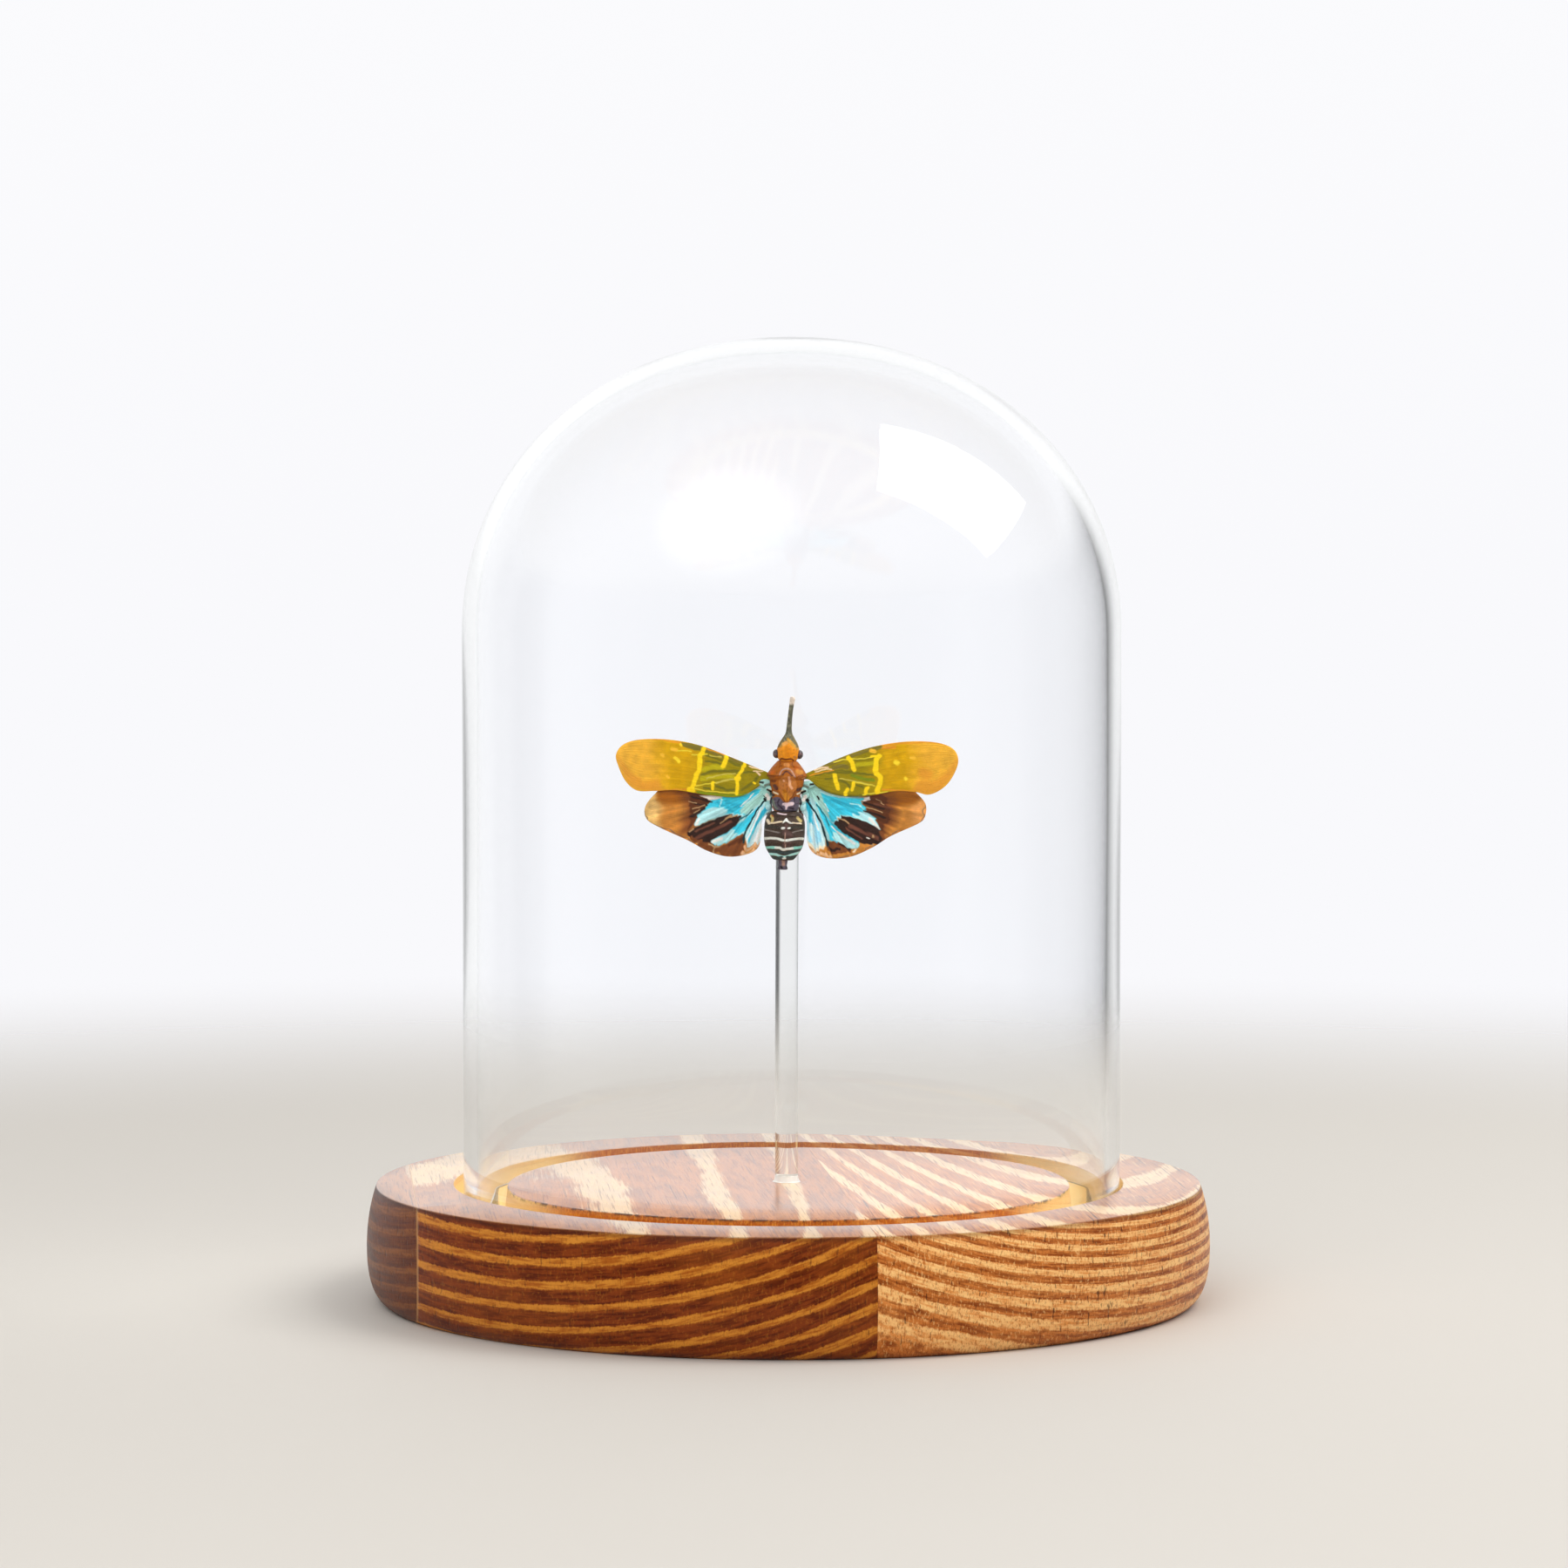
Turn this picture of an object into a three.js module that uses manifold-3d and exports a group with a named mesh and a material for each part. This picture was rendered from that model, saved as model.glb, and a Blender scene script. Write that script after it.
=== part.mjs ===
// A spread lanternfly on a clear rod, on a turned pine base, under a loose glass dome.
// Millimetres, +Z up, the insect's back towards -Y. The origin is the centre of the base's underside.
import * as THREE from 'three';
import { mergeVertices } from 'three/addons/utils/BufferGeometryUtils.js';
import Module from 'manifold-3d';

const wasm = await Module();
wasm.setup();

// ---- driving dimensions ----------------------------------------------------------------------

const TOUCH_GAP = 0.3; // left between two pieces that touch
const GLUE_LINE = 0.2; // left between two staves

// Base: a turned disc of three edge-glued staves, with a ring groove for the dome
const BASE_THICKNESS = 18;
const BASE_RADIUS = 65;
const BASE_TOP_RADIUS = 63.5;
const BASE_FOOT_RADIUS = 61.8;
const BASE_WIDEST_HEIGHT = 8.5; // the side is a barrel: two curves that meet here
const BASE_FOOT_CURVE_HEIGHT = 1; // heights of the two curves' control points
const BASE_SIDE_CURVE_HEIGHT = 13.5;
const BASE_CURVE_STEPS = 4;
const GROOVE_INNER_RADIUS = 43.4;
const GROOVE_OUTER_RADIUS = 51.6;
const GROOVE_DEPTH = 3.2;
const BASE_SEGMENTS = 72;
const STAVE_TURN = THREE.MathUtils.degToRad(5); // the boards run this far off the Y axis
const GLUE_LINE_LEFT = -57.9; // distances of the two glue lines from the centre
const GLUE_LINE_RIGHT = 7.2;

// Glass dome, standing in the groove
const DOME_OUTER_RADIUS = 50.6;
const DOME_WALL = 2.2;
const DOME_TOP_HEIGHT = 148; // above the base's underside
const DOME_SHOULDER_RISE = 45.4; // height of the curved part
const DOME_SHOULDER_POWER = 2.1; // a superellipse a little squarer than a circle
const DOME_SHIFT_X = 0.5; // it stands a little off centre in its groove
const DOME_SEGMENTS = 48;
const DOME_SHOULDER_STEPS = 12;
const DOME_RIM_STEPS = 3;

// Clear rod in a blind hole, with its glue
const ROD_RADIUS = 1.75;
const ROD_TOP_HEIGHT = 78.3;
const ROD_HOLE_DEPTH = 8;
const ROD_X = -0.2;
const ROD_TOP_ROUND = 0.5;
const ROD_SEGMENTS = 20;
const GLUE_FOOT_RADIUS = 2.75;
const GLUE_FOOT_HEIGHT = 2;
const GLUE_FOOT_WAIST = [0.25, 0.7]; // where its hollow flank bends, out from the bore and up
const GLUE_TOP_SIZES = [1.9, 1.7, 3]; // half sizes of the dab at the rod's top
const GLUE_TOP_Y = -2.1;
const GLUE_TOP_HEIGHT = 75;
const BELLY_Y = -3; // the dab ends at this plane, just clear of the belly

// Insect: its frame has the origin on the body's axis at the wing roots, and leans a little sideways
const INSECT_HEIGHT = 80.85;
const INSECT_X = -0.28;
const INSECT_Y = -5.4;
const INSECT_LEAN = THREE.MathUtils.degToRad(2.4);
const WING_THICKNESS = 0.25;
const FOREWING_Y = -5.35;
const HINDWING_Y = -4.75;
const BODY_SEGMENTS = 18;

const EYE_RADIUS = 0.69;
const EYE_PLACE = [1.75, 0.05, 3.5]; // out from the axis, towards the belly, up
const ANTENNA_PLACE = [1.45, 1.4, 3.3];
const ANTENNA_BULB_RADIUS = 0.3;
const BRISTLE_REACH = [0.45, 1.1, 0.4]; // from the bulb's centre to the bristle's tip
const BRISTLE_RADIUS = 0.08;
const BEAK_ROOT = [0, 2.75, 2.9];
const BEAK_TIP = [0, 2.85, -1.4];
const BEAK_RADIUS = 0.3;

// Each leg's hip, knee, ankle and toe, out from the axis, towards the belly, and up
const LEG_POINTS = {
  fore: [[1.0, 2.8, 0.9], [2.45, 3.0, -2.2], [2.15, 3.9, 0.7], [1.6, 3.8, -0.6]],
  middle: [[1.3, 2.8, -1.4], [2.6, 2.9, -4.9], [2.6, 3.9, -1.4], [2.3, 4.0, -2.6]],
  hind: [[2.25, 2.1, -4.5], [2.7, 2.6, -9.3], [2.6, 3.75, -4.6], [2.3, 4.1, -6.2]],
};
const THIGH_RADIUS = 0.3;
const SHIN_RADIUS = 0.2;
const FOOT_RADIUS = 0.14;

// Wing outlines as [x, z], from one end of the wing's root round the tip to the other end
const WING_OUTLINES = {
  forewing_left: [
    [-3.65, 80.45], [-5.35, 78.85], [-7.95, 77.8], [-12, 78.05], [-16.85, 78.8], [-20.3, 78.7],
    [-23, 78.75], [-24.75, 80.15], [-25.85, 82.45], [-26.2, 84.25], [-25.05, 85.8], [-22.5, 86.55],
    [-18.25, 86.55], [-13.6, 85.7], [-8.7, 83.85], [-3.65, 81.95],
  ],
  forewing_right: [
    [3.1, 80.75], [4.95, 78.9], [7.95, 77.9], [12.1, 77.9], [16.25, 78.6], [19.4, 78.45],
    [21.5, 78.05], [23.7, 79.1], [25.15, 80.9], [25.95, 83.2], [25.15, 85.05], [22.5, 86.05],
    [17.95, 86.2], [12.95, 85.45], [8.3, 83.95], [3.1, 81.6],
  ],
  hindwing_left: [
    [-2.95, 78.25], [-6.45, 79.45], [-12.9, 79.75], [-18.65, 79.35], [-20.4, 78.15], [-21.8, 76.3],
    [-21.7, 74.5], [-20, 73.25], [-15.35, 71.1], [-12.5, 69.55], [-9.4, 68.65], [-6.45, 68.95],
    [-4.65, 70.05], [-4.15, 72.4], [-4.15, 74.6], [-2.95, 75.8],
  ],
  hindwing_right: [
    [2.3, 78.25], [5.95, 79.45], [12.4, 79.75], [18.05, 79.25], [19.8, 78.05], [21, 76.5],
    [20.9, 74.7], [19.9, 73.6], [15.75, 71.7], [12.9, 69.95], [9.6, 68.55], [6.35, 68.3],
    [3.95, 69.05], [2.9, 70.85], [2.9, 74.4], [2.3, 75.6],
  ],
};

// Half-widths of the body's pieces as [half-width, height over the wing roots]
const HEAD_PROFILE = [
  [0, 2.6], [1.25, 2.6], [1.6, 3.1], [1.72, 4.2], [1.5, 5.2], [1.02, 6.1], [0.62, 7.0], [0.5, 8.5],
  [0.42, 10.9], [0.34, 12.0], [0, 12.4],
];
const PROTHORAX_PROFILE = [
  [0, -0.2], [2.75, -0.2], [2.97, 0.35], [2.6, 1.2], [1.85, 2.0], [1.5, 2.3], [0, 2.3],
];
const PTEROTHORAX_PROFILE = [
  [0, -5.2], [1.75, -5.2], [2.1, -4.6], [2.15, -2.8], [2.4, -1.7], [2.6, -0.8], [2.5, -0.5], [0, -0.5],
];
const ABDOMEN_PROFILE = [
  [0, -12.6], [1.7, -12.6], [2.35, -11.6], [2.85, -10.7], [3.08, -9.6], [3.13, -8.1], [3.0, -6.6],
  [2.4, -5.7], [1.8, -5.5], [0, -5.5],
];
const ANAL_TUBE_PROFILE = [[0, -14.2], [0.75, -14.2], [0.62, -13.5], [0.7, -12.9], [0, -12.9]];
const HEAD_DEPTH = 0.85; // how deep each piece is, front to back, for its width
const PROTHORAX_DEPTH = 0.74;
const PTEROTHORAX_DEPTH = 0.86;
const ABDOMEN_DEPTH = 0.68;
const SNOUT_RISE = 1.2; // how far the head's process curves up towards the back
const SNOUT_START = 5;

// ---- materials -------------------------------------------------------------------------------

function finish(color, roughness, options = {}) {
  return new THREE.MeshStandardMaterial({ color, roughness, metalness: 0, ...options });
}

const pine = finish(0xc98a52, 0.55);
const glass = finish(0xe8f0f2, 0.03, { transparent: true, opacity: 0.25 });
const clearPlastic = finish(0xe4e6e8, 0.08, { transparent: true, opacity: 0.45 });
const clearGlue = finish(0xf2ead2, 0.15, { transparent: true, opacity: 0.6 });
const orangeCuticle = finish(0xc0701c, 0.4);
const darkCuticle = finish(0x2b2622, 0.45);
const eyeLens = finish(0x3a1d16, 0.2);
const forewingSkin = finish(0xc9a01c, 0.45);
const hindwingSkin = finish(0x6fc4d8, 0.5);

// ---- solids ----------------------------------------------------------------------------------

/** Turns a closed geometry into a solid that can be joined and cut. */
function toSolid(geometry) {
  const bare = geometry.clone();
  bare.deleteAttribute('normal');
  bare.deleteAttribute('uv');
  const merged = mergeVertices(bare, 1e-4);
  return new wasm.Manifold(new wasm.Mesh({
    numProp: 3,
    vertProperties: new Float32Array(merged.attributes.position.array),
    triVerts: new Uint32Array(merged.index.array),
  }));
}

/** Turns a solid back into a geometry. */
function toGeometry(solid) {
  const mesh = solid.getMesh();
  const geometry = new THREE.BufferGeometry();
  geometry.setAttribute('position', new THREE.BufferAttribute(mesh.vertProperties, 3));
  geometry.setIndex(new THREE.BufferAttribute(mesh.triVerts, 1));
  geometry.computeVertexNormals();
  return geometry;
}

/** Spins a profile of [radius, height] points, given bottom to top outside, about Z. */
function turned(profile, segments) {
  const points = profile.map(([radius, height]) => new THREE.Vector2(radius, height));
  return new THREE.LatheGeometry(points, segments).rotateX(Math.PI / 2);
}

/** A ball of one radius, or of three half sizes, at a place. */
function ball(size, place, segments = 10) {
  const sizes = Array.isArray(size) ? size : [size, size, size];
  return new THREE.SphereGeometry(1, segments, segments / 2).scale(...sizes).translate(...place);
}

/** A straight round bar from one point to another, with its own radius at each end. */
function bar(start, end, startRadius, endRadius, segments = 5) {
  const from = new THREE.Vector3(...start);
  const along = new THREE.Vector3(...end).sub(from);
  const length = along.length();
  const turn = new THREE.Quaternion().setFromUnitVectors(new THREE.Vector3(0, 1, 0), along.normalize());
  return new THREE.CylinderGeometry(endRadius, startRadius, length, segments)
    .translate(0, length / 2, 0)
    .applyQuaternion(turn)
    .translate(...start);
}

/** The space that the rod and its gap take, of this length, centred at this height. */
function boreAround(x, height, length) {
  const radius = ROD_RADIUS + TOUCH_GAP;
  const bore = new THREE.CylinderGeometry(radius, radius, length, ROD_SEGMENTS);
  return toSolid(bore.rotateX(Math.PI / 2).translate(x, 0, height));
}

/** Joins several closed geometries into one. */
function joined(geometries) {
  return toGeometry(geometries.map(toSolid).reduce((sum, solid) => sum.add(solid)));
}

/** The same [x, y, z] on the left (-1) or right (+1) of the body. */
function onSide([x, y, z], side) {
  return [side * x, y, z];
}

function mesh(name, geometry, material) {
  const piece = new THREE.Mesh(geometry, material);
  piece.name = name;
  return piece;
}

// ---- base ------------------------------------------------------------------------------------

/** The whole turned disc: flat foot, barrel side, flat top and the ring groove. */
function baseDisc() {
  const floor = BASE_THICKNESS - GROOVE_DEPTH;
  const outline = new THREE.Path();
  outline.moveTo(0, 0);
  outline.lineTo(BASE_FOOT_RADIUS, 0);
  outline.quadraticCurveTo(BASE_RADIUS, BASE_FOOT_CURVE_HEIGHT, BASE_RADIUS, BASE_WIDEST_HEIGHT);
  outline.quadraticCurveTo(BASE_RADIUS, BASE_SIDE_CURVE_HEIGHT, BASE_TOP_RADIUS, BASE_THICKNESS);
  outline.lineTo(GROOVE_OUTER_RADIUS, BASE_THICKNESS);
  outline.lineTo(GROOVE_OUTER_RADIUS, floor);
  outline.lineTo(GROOVE_INNER_RADIUS, floor);
  outline.lineTo(GROOVE_INNER_RADIUS, BASE_THICKNESS);
  outline.lineTo(0, BASE_THICKNESS);
  return turned(outline.getPoints(BASE_CURVE_STEPS).map((point) => [point.x, point.y]), BASE_SEGMENTS);
}

/** A tall slab between two lines parallel to the boards, at these distances from the centre. */
function boardSlab(low, high) {
  const slab = new THREE.BoxGeometry(high - low, 3 * BASE_RADIUS, 3 * BASE_THICKNESS);
  return toSolid(slab.translate((low + high) / 2, 0, BASE_THICKNESS / 2).rotateZ(STAVE_TURN));
}

function buildBase() {
  const base = new THREE.Group();
  const disc = toSolid(baseDisc());
  const half = GLUE_LINE / 2;
  const beyond = 2 * BASE_RADIUS;
  const rodHole = boreAround(ROD_X, BASE_THICKNESS, 2 * ROD_HOLE_DEPTH);
  const left = disc.intersect(boardSlab(-beyond, GLUE_LINE_LEFT - half));
  const middle = disc.intersect(boardSlab(GLUE_LINE_LEFT + half, GLUE_LINE_RIGHT - half)).subtract(rodHole);
  const right = disc.intersect(boardSlab(GLUE_LINE_RIGHT + half, beyond));
  base.add(mesh('base_stave_left', toGeometry(left), pine));
  base.add(mesh('base_stave_middle', toGeometry(middle), pine));
  base.add(mesh('base_stave_right', toGeometry(right), pine));
  return base;
}

// ---- dome ------------------------------------------------------------------------------------

/** The shoulder of one face, from the straight side (first) to the top of the axis (last). */
function domeShoulder(radius, rise) {
  const points = [];
  const start = DOME_TOP_HEIGHT - DOME_SHOULDER_RISE;
  for (let step = 0; step <= DOME_SHOULDER_STEPS; step += 1) {
    const angle = (step / DOME_SHOULDER_STEPS) * (Math.PI / 2);
    const out = step === DOME_SHOULDER_STEPS ? 0 : radius * Math.cos(angle) ** (2 / DOME_SHOULDER_POWER);
    points.push([out, start + rise * Math.sin(angle) ** (2 / DOME_SHOULDER_POWER)]);
  }
  return points;
}

function buildDome() {
  const foot = BASE_THICKNESS - GROOVE_DEPTH + TOUCH_GAP;
  const halfWall = DOME_WALL / 2;
  const inner = domeShoulder(DOME_OUTER_RADIUS - DOME_WALL, DOME_SHOULDER_RISE - DOME_WALL);
  const outer = domeShoulder(DOME_OUTER_RADIUS, DOME_SHOULDER_RISE);
  const rim = [];
  for (let step = 0; step <= DOME_RIM_STEPS; step += 1) {
    const angle = Math.PI + (step / DOME_RIM_STEPS) * Math.PI;
    rim.push([
      DOME_OUTER_RADIUS - halfWall + halfWall * Math.cos(angle),
      foot + halfWall + halfWall * Math.sin(angle),
    ]);
  }
  const dome = mesh('glass_dome', turned([...inner.reverse(), ...rim, ...outer], DOME_SEGMENTS), glass);
  dome.position.x = DOME_SHIFT_X;
  return dome;
}

// ---- rod and glue ----------------------------------------------------------------------------

function buildRod() {
  const holder = new THREE.Group();
  holder.position.x = ROD_X;
  const foot = BASE_THICKNESS - ROD_HOLE_DEPTH + TOUCH_GAP;
  const rod = turned([
    [0, foot], [ROD_RADIUS, foot], [ROD_RADIUS, ROD_TOP_HEIGHT - ROD_TOP_ROUND],
    [ROD_RADIUS - ROD_TOP_ROUND, ROD_TOP_HEIGHT], [0, ROD_TOP_HEIGHT],
  ], ROD_SEGMENTS);
  holder.add(mesh('rod', rod, clearPlastic));

  const bore = ROD_RADIUS + TOUCH_GAP;
  const under = BASE_THICKNESS + TOUCH_GAP;
  const ring = [
    [bore, under], [GLUE_FOOT_RADIUS, under], [bore + GLUE_FOOT_WAIST[0], under + GLUE_FOOT_WAIST[1]],
    [bore, under + GLUE_FOOT_HEIGHT], [bore, under],
  ];
  holder.add(mesh('glue_foot', turned(ring, ROD_SEGMENTS), clearGlue));

  // The dab bridges from the rod's front to the belly, and wraps a little round the rod.
  const length = 4 * GLUE_TOP_SIZES[2];
  const dab = toSolid(ball(GLUE_TOP_SIZES, [0, GLUE_TOP_Y, GLUE_TOP_HEIGHT], 16));
  const belly = new THREE.BoxGeometry(length, length, length);
  belly.translate(0, BELLY_Y - length / 2, GLUE_TOP_HEIGHT);
  const trimmed = dab.subtract(boreAround(0, GLUE_TOP_HEIGHT, length)).subtract(toSolid(belly));
  holder.add(mesh('glue_top', toGeometry(trimmed), clearGlue));
  return holder;
}

// ---- insect ----------------------------------------------------------------------------------

/** A body piece: a turned profile, flattened front to back. */
function bodyPiece(profile, depth) {
  return turned(profile, BODY_SEGMENTS).scale(1, depth, 1);
}

/** Curves the head's process up towards the back: the offset grows with the square of the height. */
function curveSnout(geometry) {
  const place = geometry.attributes.position;
  const reach = HEAD_PROFILE.at(-1)[1] - SNOUT_START;
  for (let index = 0; index < place.count; index += 1) {
    const along = Math.max(0, place.getZ(index) - SNOUT_START) / reach;
    place.setY(index, place.getY(index) - SNOUT_RISE * along * along);
  }
  return geometry;
}

/** The head, with hollows for the eyes and the roots of the antennae. */
function buildHead() {
  let head = toSolid(curveSnout(bodyPiece(HEAD_PROFILE, HEAD_DEPTH)));
  for (const side of [-1, 1]) {
    head = head.subtract(toSolid(ball(EYE_RADIUS + TOUCH_GAP, onSide(EYE_PLACE, side))));
    head = head.subtract(toSolid(ball(ANTENNA_BULB_RADIUS + TOUCH_GAP, onSide(ANTENNA_PLACE, side))));
  }
  return mesh('head', toGeometry(head), orangeCuticle);
}

/** A bulb with a fine bristle. */
function antenna(side) {
  const root = onSide(ANTENNA_PLACE, side);
  const tip = onSide(BRISTLE_REACH, side).map((reach, axis) => root[axis] + reach);
  return joined([ball(ANTENNA_BULB_RADIUS, root, 8), bar(root, tip, BRISTLE_RADIUS, BRISTLE_RADIUS)]);
}

/** A folded leg: thigh, shin and foot as bars that are joined by balls. */
function leg(points, side) {
  const [hip, knee, ankle, toe] = points.map((point) => onSide(point, side));
  return joined([
    ball(THIGH_RADIUS, hip, 6),
    bar(hip, knee, THIGH_RADIUS, SHIN_RADIUS),
    ball(THIGH_RADIUS, knee, 6),
    bar(knee, ankle, SHIN_RADIUS, SHIN_RADIUS),
    ball(SHIN_RADIUS, ankle, 6),
    bar(ankle, toe, FOOT_RADIUS, FOOT_RADIUS),
    ball(FOOT_RADIUS, toe, 6),
  ]);
}

function buildBody() {
  const body = new THREE.Group();
  body.position.set(INSECT_X, INSECT_Y, INSECT_HEIGHT);
  body.rotation.y = INSECT_LEAN;
  body.add(buildHead());
  body.add(mesh('prothorax', bodyPiece(PROTHORAX_PROFILE, PROTHORAX_DEPTH), orangeCuticle));
  body.add(mesh('pterothorax', bodyPiece(PTEROTHORAX_PROFILE, PTEROTHORAX_DEPTH), orangeCuticle));
  body.add(mesh('abdomen', bodyPiece(ABDOMEN_PROFILE, ABDOMEN_DEPTH), darkCuticle));
  body.add(mesh('anal_tube', bodyPiece(ANAL_TUBE_PROFILE, 1), darkCuticle));
  body.add(mesh('beak', bar(BEAK_ROOT, BEAK_TIP, BEAK_RADIUS, BEAK_RADIUS / 2, 8), darkCuticle));
  for (const [word, side] of [['left', -1], ['right', 1]]) {
    body.add(mesh(`eye_${word}`, ball(EYE_RADIUS, onSide(EYE_PLACE, side)), eyeLens));
    body.add(mesh(`antenna_${word}`, antenna(side), orangeCuticle));
    for (const [pair, points] of Object.entries(LEG_POINTS)) {
      body.add(mesh(`leg_${pair}_${word}`, leg(points, side), darkCuticle));
    }
  }
  return body;
}

/** A flat wing plate, its outline a smooth curve round from one end of the root to the other. */
function wing(name, outline, y, material) {
  const points = outline.map(([x, z]) => new THREE.Vector2(x, z));
  const shape = new THREE.Shape();
  shape.moveTo(points[0].x, points[0].y);
  shape.splineThru(points.slice(1));
  shape.closePath();
  const plate = new THREE.ExtrudeGeometry(shape, {
    depth: WING_THICKNESS, bevelEnabled: false, curveSegments: 2,
  });
  return mesh(name, plate.rotateX(Math.PI / 2).translate(0, y + WING_THICKNESS, 0), material);
}

function buildWings() {
  const wings = new THREE.Group();
  for (const [name, outline] of Object.entries(WING_OUTLINES)) {
    const fore = name.startsWith('forewing');
    wings.add(wing(name, outline, fore ? FOREWING_Y : HINDWING_Y, fore ? forewingSkin : hindwingSkin));
  }
  return wings;
}

// ---- assembly --------------------------------------------------------------------------------

const display = new THREE.Group();
display.add(buildBase(), buildDome(), buildRod(), buildBody(), buildWings());

export default display;
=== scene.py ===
"""A spread lanternfly on a clear rod, on a round pine base under a glass dome.

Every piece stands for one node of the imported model, rides on its body and keeps its place. Sizes
are in millimetres, x to the right, y away from the front, z up; meshes are written in metres.
"""

import logging
import math
from collections.abc import Iterable
from dataclasses import dataclass
from enum import Enum

import bmesh
import bpy
import numpy as np
from mathutils import Matrix


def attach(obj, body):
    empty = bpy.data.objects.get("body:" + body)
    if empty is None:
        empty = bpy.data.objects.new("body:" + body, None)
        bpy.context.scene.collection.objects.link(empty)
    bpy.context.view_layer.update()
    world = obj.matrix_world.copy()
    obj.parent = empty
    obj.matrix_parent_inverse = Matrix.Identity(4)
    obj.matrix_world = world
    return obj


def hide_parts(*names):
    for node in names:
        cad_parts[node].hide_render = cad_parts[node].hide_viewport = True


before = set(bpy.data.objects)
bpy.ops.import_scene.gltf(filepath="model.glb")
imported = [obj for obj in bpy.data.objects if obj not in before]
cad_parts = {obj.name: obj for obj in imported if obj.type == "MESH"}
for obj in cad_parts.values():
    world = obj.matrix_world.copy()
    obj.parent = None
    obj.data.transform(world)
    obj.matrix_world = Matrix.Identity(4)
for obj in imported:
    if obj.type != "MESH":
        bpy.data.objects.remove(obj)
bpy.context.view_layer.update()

LOG = logging.getLogger("dome")
MM = 0.001
TOUCH = 1e-6  # points closer than this are one
BODY = "root"
DECK = 18.0  # height of the base's upper face
GROOVE = (43.4, 51.6)  # inner and outer radius of its ring groove
GROOVE_FLOOR = 14.8
SIDES = (("left", -1), ("right", 1))
NO_LIGHT = (0.0, 0.0, 0.0, 1.0)
Colour = tuple[float, float, float, float]
Spot = tuple[float, float]
Spot3 = tuple[float, float, float]
Array = np.ndarray
Piece = bpy.types.Object
Block = bpy.types.Material | bpy.types.World


def lit(screen: Array) -> Array:
    """Screen colours from 0 to 255 as scene light: the screen's curve undone, and an alpha of 1."""
    shares = np.clip(screen / 255, 0, 1)
    light = np.where(shares <= 0.04045, shares / 12.92, ((shares + 0.055) / 1.055) ** 2.4)
    return np.concatenate([light, np.ones_like(light[..., :1])], -1)


def linear(*screen: float) -> Colour:
    """One screen colour, as red, green and blue, as scene light."""
    return tuple(lit(np.array(screen, float)).tolist())


def ease(low: float, high: float, value: Array) -> Array:
    """A smooth step: 0 below low, 1 above high, and 3s^2 - 2s^3 between them."""
    share = np.clip((value - low) / (high - low), 0.0, 1.0)
    return share * share * (3 - 2 * share)


def mix(low: Array | tuple[int, ...], high: Array | tuple[int, ...], share: Array) -> Array:
    """Colours or other values: low where the share is 0, high where it is 1."""
    return np.asarray(low) * (1 - share) + np.asarray(high) * share


def smooth_path(points: Iterable[Spot], steps: int = 10) -> Array:
    """A uniform Catmull-Rom curve through the points.

    Args:
        points: the points it passes, two or three numbers each.
        steps: how many pieces lie between two points.

    Returns:
        The curve's points, one a row.
    """
    given = np.asarray(list(points), float)
    if len(given) < 3:
        share = np.linspace(0, 1, steps + 1)[:, None]
        return given[0] + (given[-1] - given[0]) * share
    before = np.vstack([given[:1], given[:-2]])
    after = np.vstack([given[2:], given[-1:]])
    start, end = given[:-1], given[1:]
    t = (np.arange(steps) / steps)[None, :, None]
    a, b, c, d = (x[:, None, :] for x in (before, start, end, after))
    curve = 0.5 * (
        2 * b + (c - a) * t + (2 * a - 5 * b + 4 * c - d) * t**2 + (3 * b - a - 3 * c + d) * t**3
    )
    return np.vstack([curve.reshape(-1, given.shape[1]), given[-1:]])


def resampled(path: Array, shares: Array) -> Array:
    """Points of a path at shares of its length, from 0 at its start to 1 at its end."""
    along = np.concatenate([[0], np.cumsum(np.linalg.norm(np.diff(path, axis=0), axis=1))])
    return np.stack([np.interp(shares * along[-1], along, path[:, i]) for i in range(path.shape[1])], 1)


def distance_to(path: Array, spots: Array) -> Array:
    """How far each spot lies from a path: its least distance to the straight pieces."""
    best = np.full(len(spots), np.inf)
    for start, end in zip(path[:-1], path[1:], strict=True):
        run = end - start
        share = np.clip((spots - start) @ run / max(run @ run, 1e-12), 0, 1)
        best = np.minimum(best, np.linalg.norm(spots - start - share[:, None] * run, axis=1))
    return best


def inside(outline: Array, spots: Array) -> Array:
    """Whether a ray from each spot crosses the outline an odd number of times, so it is inside."""
    crossed = np.zeros(len(spots), bool)
    x, z = spots.T
    for (x0, z0), (x1, z1) in zip(outline, np.roll(outline, -1, axis=0), strict=True):
        if z0 != z1:
            crossed ^= ((z0 > z) != (z1 > z)) & (x < (x1 - x0) * (z - z0) / (z1 - z0) + x0)
    return crossed


def ripple(spots: Array, size: float, seed: int) -> Array:
    """Smooth noise from -1 to 1: random values on a square lattice, eased between its corners.

    Args:
        spots: places, two numbers a row.
        size: the lattice's pitch.
        seed: the random seed.

    Returns:
        One value for each spot.
    """
    values = np.random.default_rng(seed).uniform(-1, 1, (64, 64))
    place = spots / size
    cell = np.floor(place).astype(int)
    share = place - cell
    share = share * share * (3 - 2 * share)
    corner = [[values[(cell[:, 0] + i) % 64, (cell[:, 1] + j) % 64] for j in (0, 1)] for i in (0, 1)]
    low, high = (near * (1 - share[:, 1]) + far * share[:, 1] for near, far in corner)
    return low * (1 - share[:, 0]) + high * share[:, 0]


# ---- meshes ----


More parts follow.
